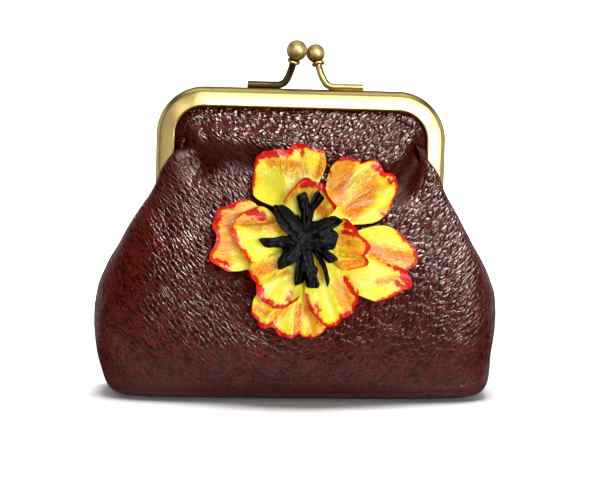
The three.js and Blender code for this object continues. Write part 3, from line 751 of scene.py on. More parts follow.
def pouch_face(folds, seed):
    """The outer face of the front before it leans, from left to right in rows from the base to the mouth."""
    halves, z, climb = pouch_halves()
    steps = np.linalg.norm(np.diff(halves, axis=1), axis=-1)
    from_edge = np.concatenate([np.zeros((len(z), 1)), np.cumsum(steps, axis=1)], axis=1)
    groove = SEAM_GROOVE * bell(from_edge, SEAM_GROOVE_WIDTH) * ease(SLIT_FOOT_Z - z, 0, SEAM_FADE)
    face = whole_rows(columns(halves[..., 0] - groove, -halves[..., 1], z), (-1, 1, 1))
    clear = ease(-face[..., 1], *FOLD_DEPTHS)
    face[..., 1] += clear * fold_depth(folds, face[..., 0], face[..., 2])
    lumps = sum(height * smooth_noise(face, size, seed + extra) for size, height, extra in LUMPS)
    loose = clear * ease(face[..., 2], *LUMP_HEIGHTS)
    face = face + grid_normals(face) * (loose * lumps)[..., None]
    x, z = face[..., 0], face[..., 2]
    from_corner = np.hypot((x - CORNER_X) / CORNER_REACH_X, (z - CORNER_Z) / CORNER_REACH_Z)
    x += CORNER_PUSH * bell(from_corner, 1) * ease(z, 0, 1)
    across = whole_rows(from_edge[:, -1:] - from_edge, -1)
    fan = np.hypot(across, GRAIN_FAN_START) - GRAIN_FAN_START
    grain = columns(across / GRAIN_STRETCH, climb - GRAIN_FAN * fan, seed)
    # How much darker each line makes the leather is painted shade.
    smooth = painted_shade = np.zeros_like(across)
    for *line, half_width, change, flatter, darker in SMOOTH_LINES:
        near = 1 - ease(line_distance(x, z, *line), half_width, half_width + change)
        smooth = np.maximum(smooth, flatter * near)
        painted_shade = np.maximum(painted_shade, darker * near)
    relief = mix(*GRAIN_RELIEF, ease(z, *GRAIN_HEIGHTS)) * (1 - smooth)
    relief = relief * mix(1, EDGE_RELIEF, np.maximum(ease(x, *RIGHT_EDGE), ease(-x, *LEFT_EDGE)))
    # The foot gets a painted sheen in its colour and worn wrinkles in its bump.
    wear_and_sheen = np.maximum.reduce([share * (1 - ease(z, low, high)) for share, low, high in FOOT_SHEEN_AND_WEAR])
    return face, grain, columns(relief, wear_and_sheen, painted_shade)


def pouch_shell(side, folds, seed):
    """One half of the pouch as a closed wall: side is 1 for the front and -1 for the back."""
    face, grain, state = pouch_face(folds, seed)
    normals = grid_normals(face)
    seam = face[..., 1] == 0
    normals[seam] *= (1, 0, 1)
    normals = unit(normals)
    # The columns run together at the frame's corners, so the wall is laid straight back there.
    collapsed = (face[..., 2] > CORNER_WALL_Z) & (normals[..., 1] > CORNER_WALL_TILT)
    normals[collapsed] = (0, -1, 0)
    inner = (face - normals * LEATHER)[::INNER_STEP, ::INNER_STEP]
    inner[..., 1] = np.minimum(inner[..., 1], 0)
    turn = (1, side, 1)
    back = side < 0
    sparse = slice(None, None, INNER_STEP)
    shell = Shell("grain", "state")
    outside = shell.add(lean(face * turn), grain=grain, state=state)
    inside = shell.add(lean(inner * turn), grain=grain[sparse, sparse], state=state[sparse, sparse])
    shell.quads(outside, back)
    shell.quads(inside, not back)
    for end, flip in ((0, not back), (-1, back)):
        shell.stitch(outside[end], inside[end], INNER_STEP, flip)
        shell.stitch(outside[:, end], inside[:, end], INNER_STEP, not flip)
    return shell


def build_pouch():
    leather = leather_material()
    return [
        make_piece(name, pouch_shell(side, folds, seed), leather, ["pouch"], sharp_angle=60)
        for name, side, folds, seed in (
            ("pouch_front", 1, FOLDS + FRONT_FOLDS, 3),
            ("pouch_back", -1, FOLDS, 7),
        )
    ]


def arc(centre, radii, start, end, steps):
    """Points of a round stretch between two angles in degrees."""
    angles = np.radians(np.linspace(start, end, steps + 1))
    return np.add(centre, np.multiply(radii, columns(np.cos(angles), np.sin(angles))))


def channel_section():
    """The frame's section: inset from the outline and distance in front of the joint between the halves."""
    across, deep = EDGE_ROUND
    face_start, face_end = HALF_DEPTH - FACE_RISE, LIP_WIDTH - LIP_ROUND
    edge = arc((across, face_start - deep), (across, deep), 180, EDGE_END_ANGLE, EDGE_STEPS)
    share = np.linspace(0, 1, FACE_STEPS + 1)[1:]
    crown_rise = (1 + CROWN - CROWN * share) * share
    crown = mix(edge[-1], (face_end, HALF_DEPTH), columns(share, crown_rise))
    lip = arc((face_end, HALF_DEPTH - LIP_ROUND), (LIP_ROUND, LIP_ROUND), 90, LIP_END_ANGLE, LIP_STEPS)
    inner = [
        (LIP_WIDTH - LIP_HOOK, HALF_DEPTH - SHEET),
        (EDGE_INSET, CHANNEL_Y),
        (SHEET + INNER_EASE, HALF_DEPTH - 3 * SHEET),
        (SHEET, HALF_DEPTH - 4 * SHEET),
        (SHEET, HALF_GAP + SHEET),
        (INNER_LIP_WIDTH, HALF_GAP + SHEET),
        (INNER_LIP_WIDTH, HALF_GAP),
        (BACK_ROUND, HALF_GAP),
    ]
    start = arc((BACK_ROUND, HALF_GAP + BACK_ROUND), (BACK_ROUND, BACK_ROUND), 270, 180, BACK_STEPS)[1:]
    return np.concatenate([start, edge, crown, lip[1:], inner])


def frame_stations():
    """Places along the frame's outline from the right arm's end to the left one's, with outward normals."""
    corner_x, corner_z = FRAME_SIDE - CORNER_RADIUS, FRAME_TOP - CORNER_RADIUS
    arm = np.linspace(ARM_END_Z, corner_z, ARM_ROWS)[:-1]
    top = np.linspace(corner_x, -corner_x, TOP_ROWS)[1:-1]
    right = [(FRAME_SIDE, z, 1, 0) for z in arm]
    turn = np.radians(np.linspace(0, 90, CORNER_ROWS))
    right += [
        (corner_x + CORNER_RADIUS * c, corner_z + CORNER_RADIUS * s, c, s)
        for c, s in zip(np.cos(turn), np.sin(turn))
    ]
    middle = [(x, FRAME_TOP, 0, 1) for x in top]
    left = [(-x, z, -nx, nz) for x, z, nx, nz in right[::-1]]
    return np.array(right + middle + left)


def add_metal(shell, rings, patina_and_shade, satin=0, flip=False):
    """A tube of rings with its patina, which also carries painted shade, and what is added to its roughness.
    """
    wear = np.zeros(rings.shape)
    wear[..., 0] = patina_and_shade
    wear[..., 1] = satin
    shell.tube(rings, flip, wear=wear)


def add_channel(shell):
    x, z, nx, nz = (column[:, None] for column in frame_stations().T)
    inset, distance = channel_section().T
    rings = columns(x - nx * inset, -distance, z - nz * inset)
    patina_and_shade = np.where(inset < EDGE_PATINA_WIDTH, EDGE_PATINA, FACE_PATINA)
    add_metal(shell, rings, patina_and_shade, flip=True)


def circle(sides):
    """Cosines and sines of equal steps round a circle, as columns."""
    angles = np.linspace(0, 2 * math.pi, sides, endpoint=False)[:, None]
    return np.cos(angles), np.sin(angles)


def tube_rings(path, radii, sides):
    """Rings round a path, each square to it, carried along without twist."""
    tangents = unit(np.gradient(path, axis=0))
    normal = np.cross(tangents[0], (0.0, 1.0, 0.0))
    cosines, sines = circle(sides)
    rings = []
    for point, tangent, radius in zip(path, tangents, radii):
        normal = unit(normal - tangent * np.dot(normal, tangent))
        rings.append(point + radius * (cosines * normal + sines * np.cross(tangent, normal)))
    return np.stack(rings)


def clasp_path(shift, ball_up):
    route = np.array([(x + shift, y, FRAME_TOP + up + share * ball_up) for x, y, up, share in CLASP_ROUTE])
    lengths = along_line(route)
    at = np.linspace(0, lengths[-1], WIRE_POINTS)
    return smooth_line(lengths, route, at)


def add_turned(shell, profile, centre, axis, sides, patina_and_shade, satin=0):
    """A turned piece: a profile of radius and place along an axis, with one value of patina and painted shade
    or one for each place.
    """
    axis = unit(np.asarray(axis, float))
    other = unit(np.cross(axis, (0.0, 1.0, 0.0)))
    cosines, sines = circle(sides)
    ring = cosines * other + sines * np.cross(axis, other)
    rings = np.stack([centre + axis * along + radius * ring for radius, along in profile])
    add_metal(shell, rings, np.reshape(patina_and_shade, (-1, 1)), satin)


def add_clasp(shell, shift, ball_radius, ball_up, patina_and_shade):
    """A clasp arm with its collar and its ball."""
    path = clasp_path(shift, ball_up)
    radii = np.full(len(path), WIRE_RADIUS)
    radii[0] = WIRE_RADIUS - WIRE_END_ROUND
    path[1] = mix(path[0], path[1], WIRE_END_STEP)
    add_metal(shell, tube_rings(path, radii, WIRE_SIDES), patina_and_shade)
    axis = unit(path[-1] - path[-3])
    ball = path[-1]
    ball_profile = arc((0, 0), (ball_radius, ball_radius), -POLE, POLE, BALL_STEPS)
    # Painted shade: the ball's underside is darker, with patina by the collar.
    under_ball_shade = ease(-ball_profile[:, 1] / ball_radius, *UNDER_BALL)
    ball_patina_and_shade = BALL_PATINA + UNDER_BALL_SHADE_AND_PATINA * under_ball_shade
    add_turned(shell, ball_profile, ball, axis, BALL_SIDES, ball_patina_and_shade, BALL_SATIN)
    seat = ball - axis * (ball_radius + COLLAR_SEAT)
    half = COLLAR_HEIGHT / 2
    rounded = arc((COLLAR_RADIUS - half, 0), (half, half), -90, 90, COLLAR_STEPS)
    ring = np.concatenate([[(COLLAR_HOLE, -half)], rounded, [(COLLAR_HOLE, half)]])
    add_turned(shell, ring, seat, axis, COLLAR_SIDES, COLLAR_PATINA)


def add_plate(shell, outline, start, end, patina_and_shade):
    """A flat plate with eased edges across X, from its outline in Y and Z."""
    centre = outline.mean(axis=0)
    small = centre + (outline - centre) * (1 - PLATE_EDGE / np.abs(outline - centre).max())
    layers = [(small, start), (outline, start + PLATE_EDGE), (outline, end - PLATE_EDGE), (small, end)]
    rings = np.stack([columns(x, *line.T) for line, x in layers])
    add_metal(shell, rings, patina_and_shade)


def ear_outline(top):
    """An ear in Y and Z: a disc round the hinge with a tongue up the front to the channel."""
    disc = arc((0, HINGE_Z), (EAR_RADIUS, EAR_RADIUS), 180, 450, EAR_STEPS)
    tongue = [(-HALF_GAP, HINGE_Z + EAR_RADIUS), (-HALF_GAP, top), (-EAR_DEPTH, top)]
    return np.concatenate([disc, tongue])


def frame_half(shift, ball, patina_and_shade):
    """One half of the frame with its soldered clasp arm."""
    shell = Shell("wear")
    add_channel(shell)
    add_clasp(shell, shift, *ball, patina_and_shade)
    add_plate(shell, ear_outline(OUTER_EAR_TOP), FRAME_SIDE - SHEET, FRAME_SIDE, OUTER_EAR_PATINA)
    inside = -FRAME_SIDE + SHEET + EAR_GAP
    add_plate(shell, ear_outline(INNER_EAR_TOP), inside, inside + SHEET, INNER_EAR_PATINA)
    return shell


def rivet_shell():
    """A rivet through both ears, with a domed head at each end."""
    inner = FRAME_SIDE - 2 * SHEET - 2 * EAR_GAP
    outer = FRAME_SIDE + EAR_GAP
    dome = arc((0, 0), (RIVET_HEAD_RADIUS, RIVET_HEAD), POLE, 0, RIVET_STEPS)
    inner_head = [(radius, inner - along) for radius, along in dome]
    outer_head = [(radius, outer + along) for radius, along in dome[::-1]]
    profile = [*inner_head, (RIVET_RADIUS, inner), (RIVET_RADIUS, outer), *outer_head]
    shell = Shell("wear")
    add_turned(shell, profile, np.array([0, 0, HINGE_Z]), (1, 0, 0), RIVET_SIDES, RIVET_PATINA)
    return shell


def build_frame():
    brass = brass_material()
    pieces = []
    for name, shell, turn in (
        ("frame_front", frame_half(CLASP_OFF_CENTRE, FRONT_BALL, FRONT_PATINA), (1, 1, 1)),
        ("frame_back", frame_half(-CLASP_OFF_CENTRE, BACK_BALL, BACK_WIRE_DARKENING), (-1, -1, 1)),
        ("hinge_rivet_right", rivet_shell(), (1, 1, 1)),
        ("hinge_rivet_left", rivet_shell(), (-1, -1, 1)),
    ):
        shell.points = [lean(points * turn) for points in shell.points]
        pieces.append(make_piece(name + "_metal", shell, brass, [name], sharp_angle=35))
    return pieces


# Petals: angle runs anticlockwise from +X as seen from the front; start is the radius of the foot.
# foot: width of the foot as a share of the full width; spread: share of the half width that each side has.
# rim: reach of the outer edge as a share of end; red: width of the red paint behind it.
# These four run from the clockwise side to the anticlockwise side.
# notches: place across the petal, depth and width in the rim.
PETAL_FIELDS = (
    "name", "angle", "start", "end", "half", "foot", "spread", "lift",
    "rise", "cup", "ruffle", "waves", "phase", "rim", "red", "notches",
)
EVEN_FOOT = (0.28, 0.28)
EVEN = (1, 1)
PETALS = [
    ("outer_top", 105.6, 6.5, 26.5, 11.4, EVEN_FOOT, EVEN, 1.55, 2.4, 0.8, 0.7, 2.5, 0.4,
     (0.84, 0.93, 0.99, 0.975, 1, 0.955, 0.64), (0.1, 0.3, 1.4, 1.5, 1.6, 1, 0.5),
     [(-8, 0.5, 0.8), (-1.3, 0.7, 0.9), (4.6, 0.4, 0.8)]),
    ("outer_upper_right", 39, 6.5, 31.2, 11.2, EVEN_FOOT, (0.84, 1), 1.55, 1.8, 0.6, 0.7, 3, 1.2,
     (0.74, 0.955, 1, 0.965, 0.955, 0.84, 0.715), (0.2, 0.3, 0.45, 0.6, 0.2, 0.1, 0.6),
     [(6.6, 1.1, 0.9), (0.2, 0.8, 0.9), (-8.6, 1.2, 0.9)]),
    ("outer_right", -17, 6.5, 34.1, 10.7, (0.75, 0.28), (1, 0.97), 1.55, 1.8, 0.5, 0.8, 2.5, 2.2,
     (0.75, 0.9, 0.995, 0.945, 0.97, 0.935, 0.73), (0.2, 0.5, 0.9, 0.8, 0.7, 0.8, 0.7),
     [(0.4, 1.2, 1), (8.6, 1.1, 1), (-5.4, 0.6, 0.9)]),
    ("outer_bottom", -99, 6.5, 29, 11, EVEN_FOOT, EVEN, 1.55, 1.6, 0.4, 0.8, 3, 0.1,
     (0.8, 0.935, 0.945, 1, 0.97, 0.955, 0.85), (0.5, 0.8, 0.8, 0.5, 0.3, 0, 0),
     [(-4.6, 0.8, 1.1), (3.9, 0.8, 0.8), (-9, 0.4, 0.8)]),
    ("outer_left", 180.2, 6.5, 27, 10, (0.28, 0.7), EVEN, 1.55, 1.8, 0.6, 0.7, 2.5, 1.9,
     (0.7, 0.94, 0.99, 0.95, 0.975, 1, 0.82), (0.6, 1.4, 1.4, 0.6, 0.6, 0.8, 0.4),
     [(2.2, 0.6, 1.8), (8.6, 0.8, 1), (-5, 0.3, 0.9)]),
    ("inner_top", 82, 5, 16.8, 7.6, (0.62, 0.28), EVEN, 3.5, 3.6, 1, 0.6, 2, 0.8,
     (0.66, 0.76, 0.95, 0.97, 0.99, 0.85, 0.55), (0.7, 0.9, 0.9, 0.9, 0.7, 0.2, 0), [(-1.4, 0.7, 0.7)]),
    ("inner_right", -6, 4.8, 19.6, 7, EVEN_FOOT, EVEN, 3.5, 3.4, 0.8, 0.6, 2, 2.6,
     (0.72, 0.97, 0.95, 0.98, 0.86, 0.73, 0.58), (0.2, 0.3, 0.5, 0.8, 0.8, 0.7, 0.6),
     [(-2.7, 0.9, 0.7), (3, 0.4, 0.8)]),
    ("inner_lower_right", -62, 4.8, 26.6, 7.4, EVEN_FOOT, EVEN, 3.5, 3, 0.6, 0.7, 2.5, 1.4,
     (0.7, 0.97, 1, 0.955, 0.95, 0.905, 0.77), (0.6, 0.5, 0.5, 0.7, 0.6, 0.7, 0.9),
     [(0, 0.7, 0.9), (4.4, 0.5, 0.8)]),
    ("inner_lower_left", -119, 4.8, 21.4, 7.2, EVEN_FOOT, (1.3, 1), 3.5, 3.2, 0.7, 0.6, 2, 0.2,
     (0.72, 0.83, 0.96, 1, 0.995, 0.93, 0.74), (0, 0.8, 1, 0.8, 0.7, 0.8, 0.6),
     [(-4.3, 0.8, 0.9), (1.5, 0.4, 0.8)]),
    ("inner_left", 177, 4.8, 21.2, 7.8, EVEN_FOOT, EVEN, 3.5, 3.2, 0.8, 0.6, 2, 2,
     (0.68, 0.9, 0.975, 0.98, 0.92, 0.84, 0.7), (0.1, 0.3, 0.3, 0.7, 0.5, 0.7, 0.8),
     [(1, 0.6, 1), (5.7, 0.6, 0.9)]),
]

# Brush strokes on each petal, first red, then orange, then brown: x and z of both ends from the flower's
# middle, and half width.
STROKES = {
    "outer_top": (
        [(-3.3, 25.8, -5.8, 22.8, 0.5), (-1.6, 25.5, -1.2, 22.6, 0.3), (-9.5, 24.6, -10.4, 23, 0.5),
         (-15, 17, -15, 14.4, 0.4), (-8, 25.2, -6.5, 23.9, 0.6)],
        [(-11, 21, -2, 20, 0.9), (5, 22.6, 3.4, 17.4, 0.9), (-7, 18, -3, 16, 0.2)],
        [(6, 22, 4, 18, 0.1), (5.2, 22.8, 2.9, 17.5, 0.1), (-9, 20.6, -1, 19, 1.2)],
    ),
    "outer_upper_right": (
        [(20, 20.2, 23, 17.8, 0.9), (8.8, 21.7, 10.6, 22.5, 0.5), (23.8, 16.8, 26.8, 14, 0.4),
         (6.8, 18.5, 7.3, 17, 0.35), (25.8, 11.2, 26.6, 11, 0.5), (22.3, 7.2, 23.5, 6.4, 0.3)],
        [(11, 20.5, 9, 12, 3.4), (17.4, 11.2, 14, 8, 3), (20, 15.5, 15, 11, 1.6), (22, 8, 25, 9.5, 0.8)],
        [(13, 21.5, 10, 13, 0.8), (17.6, 11.6, 14.2, 8.2, 1.4), (19.5, 14, 13, 7, 0.6),
         (20, 19, 15, 14, 0.8)],
    ),
    "outer_right": (
        [(27.5, 2.2, 29.3, 0.4, 0.8), (31.6, -2, 33, -6, 0.4), (21.5, -5.9, 26, -8, 0.3),
         (26, -8, 30.4, -9.3, 0.7), (29, -9.8, 31, -12.5, 1.6), (27.3, -12.5, 29.5, -14, 0.9),
         (24, -17.6, 30, -14.2, 0.4)],
        [(19, -2.8, 31, -5.4, 1.9), (23, -6, 30, -7, 1.1), (22, -12, 27, -11, 0.4)],
        [(19, -3.6, 31, -5, 0.9), (22, -12, 28, -11, 0.5)],
    ),
    "outer_bottom": (
        [(-14.5, -20.5, -12.4, -24.8, 0.4), (-12, -25, -8.6, -26.8, 0.7), (-8.4, -27, -5, -28.3, 0.4),
         (-3.5, -28.6, -1.6, -28.2, 0.3)],
        [(-5, -19.5, -8.5, -25, 0.9), (-0.6, -20, -1, -27, 1), (2, -21, 4.6, -26, 2),
         (-13, -20, -10, -22, 0.5)],
        [(-5.4, -20, -8.8, -25.2, 0.6), (-0.8, -20, -1.2, -27, 0.6), (-13, -20.5, -9, -22, 0.3)],
    ),
    "outer_left": (
        [(-24, 8.6, -20.8, 8.2, 0.9), (-26.2, 6, -25.2, 1.6, 0.8), (-25.5, 0, -27, -4.5, 0.4),
         (-26, -6.8, -21.8, -8, 0.5), (-18, 9.8, -16, 9.6, 0.3)],
        [(-23.6, 7, -23, -6, 2.8), (-19, 8, -21, 0, 1.4)],
        [(-22, 3, -20.5, -2, 0.2)],
    ),
    "inner_top": (
        [(-0.6, 15, 2.4, 15.3, 1.1), (3.8, 14.6, 6.5, 12.5, 0.7), (6.5, 12.5, 8.8, 10.3, 0.7)],
        [(-5.5, 11.5, -2, 15, 0.9), (3.3, 9, 7.5, 6.5, 2), (0, 12, 3, 11, 1)],
        [(-6, 10, -1.6, 15.2, 0.2), (3.6, 8.6, 8, 6, 0.6), (-0.6, 14.6, 2.6, 14.4, 0.3)],
    ),
    "inner_right": (
        [(12, 4.2, 15, 3, 0.9), (11.5, 2, 13.8, 1.2, 0.7), (15.6, 3, 17, 0, 0.6), (17, 0, 19, -2.6, 0.6)],
        [(10, 0, 16, -3, 1.9), (10, -7.5, 18, -6, 1.7)],
        [(9, -4.2, 17.5, -4.2, 0.2), (10, -7.5, 18, -5.6, 0.4), (10.5, 1, 13, -1, 0.3)],
    ),
    "inner_lower_right": (
        [(0.6, -16.5, 3, -20.5, 0.9), (3, -20.5, 6, -24, 0.6), (4, -18.6, 4.6, -19.6, 0.6),
         (12, -11, 15.6, -16, 0.6), (15.8, -17, 15.2, -19.5, 0.4), (13.4, -21, 10.5, -24, 0.4)],
        [(11, -13.5, 13, -19, 2.1), (4, -8, 5.5, -11, 0.8)],
        [(12, -14, 13.6, -18, 0.2)],
    ),
    "inner_lower_left": (
        [(-12.4, -13.5, -11.4, -16.5, 0.8), (-11, -17, -7, -19.6, 0.5), (-6, -19.8, -3.4, -20, 0.4),
         (-3, -15, -4.5, -17.5, 0.4), (-2.6, -18.5, -0.4, -17.8, 0.9)],
        [(-14, -10, -9, -8.5, 2), (-5, -10, -7, -9, 1)],
        [(-14.4, -10.4, -9, -8.2, 0.6)],
    ),
    "inner_left": (
        [(-15.6, 6.8, -12.4, 5.6, 1.4), (-20.8, 1.8, -19.7, -1, 0.5), (-19.5, -1, -19.3, -3, 0.2),
         (-17.4, -4.5, -15.4, -7.8, 0.7)],
        [(-19, 4.5, -10, 4, 1.5), (-10, 3, -7, 2, 1.2)],
        [(-19.4, 3.3, -9, 4.6, 0.1), (-13.4, 2.2, -9, 4.8, 0.1)],
    ),
}

# Creases and soft ridges in the petals: x and z of both ends from the flower's middle, height and width.
CREASES = {
    "outer_top": [(3.6, 23, 3, 17.4, -0.7, 0.8), (-6, 22, -4, 14, 0.5, 3), (-11, 21, -8, 12, -0.4, 1.6)],
    "outer_upper_right": [(7, 13, 15.6, 21.2, -0.7, 1), (11, 9, 23.4, 17.4, -0.7, 1.2),
        (11, 7.4, 26, 11, -0.6, 1.1), (9, 12, 19, 18.5, 0.4, 1.3)],
    "outer_right": [(20, -5.5, 30.4, -9, -0.8, 1), (18, -2.6, 31, -3.6, 0.5, 2.2),
        (17, -9, 27, -14, 0.3, 2.4)],
    "outer_bottom": [(-3.4, -19, -9.3, -26, -0.6, 0.9), (-1, -19, -1.4, -28, -0.6, 0.8),
        (1.6, -19, 3.6, -27, -0.5, 0.9), (-6.4, -18, -13, -23, -0.4, 1)],
    "outer_left": [(-15, 2, -25, 0, -0.7, 1.2), (-16, -4, -24, -7, -0.4, 1.2), (-17, 6, -24, 4, 0.4, 1.6)],
    "inner_top": [(3.4, 14.4, 8.4, 10.6, 0.5, 0.9), (-2, 13.4, 0, 8, -0.5, 1), (2.8, 13, 3, 8, -0.4, 0.8)],
    "inner_right": [(9, -4.6, 17.8, -4.5, -0.8, 0.7), (10, -7, 18, -6.5, 0.4, 1.3),
        (12, 3, 17, -1, 0.4, 1.2)],
    "inner_lower_right": [(6.4, -12, 10.3, -24, -0.6, 1.2), (3.4, -13, 4.6, -20, 0.4, 1.5)],
    "inner_lower_left": [(-13, -12.4, -5, -9.4, -0.8, 0.8), (-5, -12, -6.6, -19, -0.4, 1.1)],
    "inner_left": [(-19.4, 3, -9, 4.5, -0.7, 0.7), (-13.6, 2, -9, 4.9, -0.4, 0.6),
        (-18.6, -2, -9, -2.6, 0.4, 1.8)],
}


def front_face(x, z):
    """Depth of the leather's front at a place on it, before it leans."""
    rising = SECTIONS[FIRST_RISING_SECTION:]
    section = sections_at([row[0] for row in rising], z, FIRST_RISING_SECTION)
    return face_depth(section, x) - fold_depth(FOLDS, x, z)


def flower_place(angle, along, across):
    """x and z of places along and across a direction from the flower's middle."""
    cosine, sine = math.cos(angle), math.sin(angle)
    return along * cosine - across * sine, along * sine + across * cosine


def over_front(angle, along, across, height):
    """Points of the flower: along and across a direction from its middle, at a height off the leather."""
    right, up = flower_place(angle, along, across)
    x, z = FLOWER_X + right, FLOWER_Z + up
    return lean(columns(x, -(front_face(x, z) + height), z))


def stroke_field(strokes, x, z):
    """How far inside the nearest stroke each place is, in millimetres; below zero outside all of them."""
    field = np.full(x.shape, UNPAINTED)
    for *line, half_width in strokes:
        field = np.maximum(field, half_width - line_distance(x, z, *line))
    return field


def petal_shell(spec, seed):
    """A petal: a fan-shaped sheet with rounded edges that rises to a ruffled, notched rim."""
    name, half, start = spec["name"], spec["half"], spec["start"]
    angle = math.radians(spec["angle"])
    out = np.linspace(0, 1, PETAL_ROWS)[:, None]
    side = np.linspace(-1, 1, PETAL_COLUMNS)[None, :]
    places = np.linspace(-1, 1, len(spec["rim"]))
    scallop = smooth_noise(columns(side * half, 0, 0), SCALLOP_SIZE, seed)
    reach = spec["end"] * smooth_table(places, spec["rim"], side) + SCALLOP * scallop
    for place, depth, width in spec["notches"]:
        reach = reach - depth * bell(side * half - place, width)
    along = mix(start, reach, out)
    foot = np.where(side < 0, *spec["foot"])
    across = half * np.where(side < 0, *spec["spread"]) * mix(foot, 1, ease(out, 0, WIDEST_AT)) * side
    x, z = flower_place(angle, along, across)
    wave = np.sin(spec["waves"] * math.pi * side + spec["phase"])
    curl = (spec["cup"] * side * side + spec["ruffle"] * wave) * out * out
    height = spec["lift"] + spec["rise"] * out**RISE_POWER + curl
    folds = sum(rise * bell(line_distance(x, z, *line), wide) for *line, rise, wide in CREASES[name])
    place = columns(along * PLEAT_STRETCH, across, 0)
    pleats = PLEAT * smooth_noise(place, PLEAT_SIZE, seed + 1) * ease(out, *PLEAT_SPAN)
    rim_paint = RIM_PAINT + smooth_table(places, spec["red"], side) - (1 - out) * (reach - start)
    red, orange, brown = (stroke_field(strokes, x, z) for strokes in STROKES[name])
    paint = columns(np.maximum(rim_paint, red), orange, brown)
    shell = Shell("leaf", "paint")
    top = over_front(angle, along, across, height + folds + pleats)
    under = over_front(angle, along, across, height - PETAL_THICKNESS)
    close_sheet(shell, top, under, columns(along, across, seed), paint)
    return shell


def close_sheet(shell, top, under, leaf, paint):
    """Joins two sheets of points along a rounded edge."""
    def border(grid):
        return np.concatenate([grid[0, :-1], grid[:-1, -1], grid[-1, :0:-1], grid[:0:-1, 0]])

    high = shell.add(top, leaf=leaf, paint=paint)
    low = shell.add(under, leaf=leaf, paint=paint)
    shell.quads(high)
    shell.quads(low, flip=True)
    upper, lower = border(top), border(under)
    ahead = np.roll(upper, -1, axis=0) - np.roll(upper, 1, axis=0)
    outward = unit(np.cross(ahead, upper - lower))
    turns = np.radians(np.linspace(90, -90, PETAL_RIM_STEPS + 1))[1:-1]
    middle, half = (upper + lower) / 2, (upper - lower) / 2
    bulge = outward * (RIM_BULGE * PETAL_THICKNESS / 2)
    edge = np.stack([middle + half * math.sin(turn) + bulge * math.cos(turn) for turn in turns])
    edge_leaf = np.broadcast_to(border(leaf), edge.shape)
    edge_paint = np.broadcast_to(border(paint), edge.shape)
    ring = shell.add(edge, leaf=edge_leaf, paint=edge_paint)
    shell.quads(closed(np.concatenate([border(high)[None], ring, border(low)[None]])), flip=True)


# Stamens: angle, length from the middle, height of the tip, height of the root, twist of the tip, roundness
# of its end, then sideways bend and full width at the root, at two places on the way and at the tip.
STAMENS = [
    (131, 12.4, 9.6, 8.3, 16, 0.9, (-0.6, 0.3, 0.4, 0.1), (4.6, 5, 5.2, 4.6)),
    (95, 12.7, 9.4, 7.4, -16, 0, (0.8, -0.5, -0.6, 0.2), (4.6, 4, 2.9, 3.2)),
    (72, 13.5, 9.8, 7.2, 18, 0, (-0.8, 0.9, 0.9, -0.3), (4.6, 3.5, 2.2, 2.8)),
    (28, 11.6, 9.8, 7.9, -20, 0.2, (0.9, 0.9, 0.7, 0.7), (4.2, 4.2, 3.8, 3)),
    (0, 9.4, 8.4, 7.6, 12, 0.3, (-0.6, 0.2, 0.1, -0.2), (4.6, 5.2, 5.6, 4.8)),
    (-33, 10.6, 8, 7, 18, 0.2, (0.9, 0.5, 0.1, -0.4), (4.4, 3.8, 3, 2.8)),
    (-59, 14.4, 8.4, 6.8, -15, 0, (0.4, 1, 1.2, -0.1), (2.8, 1.8, 1.4, 2)),
    (-79, 13.8, 8.8, 7.8, 10, 0, (-0.7, -0.3, -0.1, 0.3), (4.8, 4.4, 4.4, 3.6)),
    (-94, 12.8, 8.4, 7.2, -12, 0.1, (0.8, 0.4, 0.1, -0.4), (4.6, 3.9, 3.5, 2.6)),
    (-134, 10.7, 8.8, 7.9, 16, 0.7, (-0.8, -0.2, 0.5, 0), (5.4, 5, 4.2, 3.7)),
    (185, 12.5, 8.6, 7.4, -16, 0.5, (0.9, 0.5, 0.5, 0.2), (5, 4, 3, 3)),
]
STRIP_THICKNESS = 1
STRIP_ROWS = 48
STRIP_COLUMNS = 14
STRIP_BACK = 3.4  # the strips cross the middle by this much
STRIP_END_SHARE = (0.06, 0.3)  # how much of its length a square and a round end take
STRIP_END_WIDTH = (0.74, 0.2)  # and how wide they are at the very end
STRIP_WAVE, STRIP_WAVE_SIZE = 0.16, 2.2  # waves in the width of both edges
STRIP_SKEW, STRIP_SKEW_SIZE = 0.08, 1.3  # and waves that move both edges the same way
STRIP_ARCH = 0.4
STRIP_DOME, STRIP_SINK = 0.9, 0.3
STRIP_FOLD, STRIP_FOLD_WIDTH = 0.5, 0.3
STRIP_FOLD_SPAN = (0.15, 0.5)
STRIP_FOLD_TWIST = 40  # degrees of twist that would move the fold from the middle to an edge
STRIP_SLANT_TWIST, STRIP_SLANT_POWER = 30, 4  # degrees that slant the tip's corners by 1, and how late
STRIP_TILT, STRIP_UNDER_TILT = 0.8, 0.7  # share of the twist at the tip, and of that share underneath
STRIP_CREASE, STRIP_CREASE_SIZE, STRIP_CREASE_STRETCH = 0.4, 1.2, (0.5, 1, 1)
STRIP_GRAIN, STRIP_GRAIN_SIZE = 0.2, 0.9
STRIP_SKEW_SEED, STRIP_GRAIN_SEED = 40, 5  # added to a strip's own seed
STRIP_APART = 9  # keeps the noise of one strip away from the next
KNOT_RADIUS = 3.9
KNOT_TOP = 6.6
KNOT_WALL = 3
KNOT_ROUND = (1.6, 1.8)
KNOT_TIP = 0.3  # radius of its flat top
KNOT_SIDES, KNOT_STEPS = 40, 10


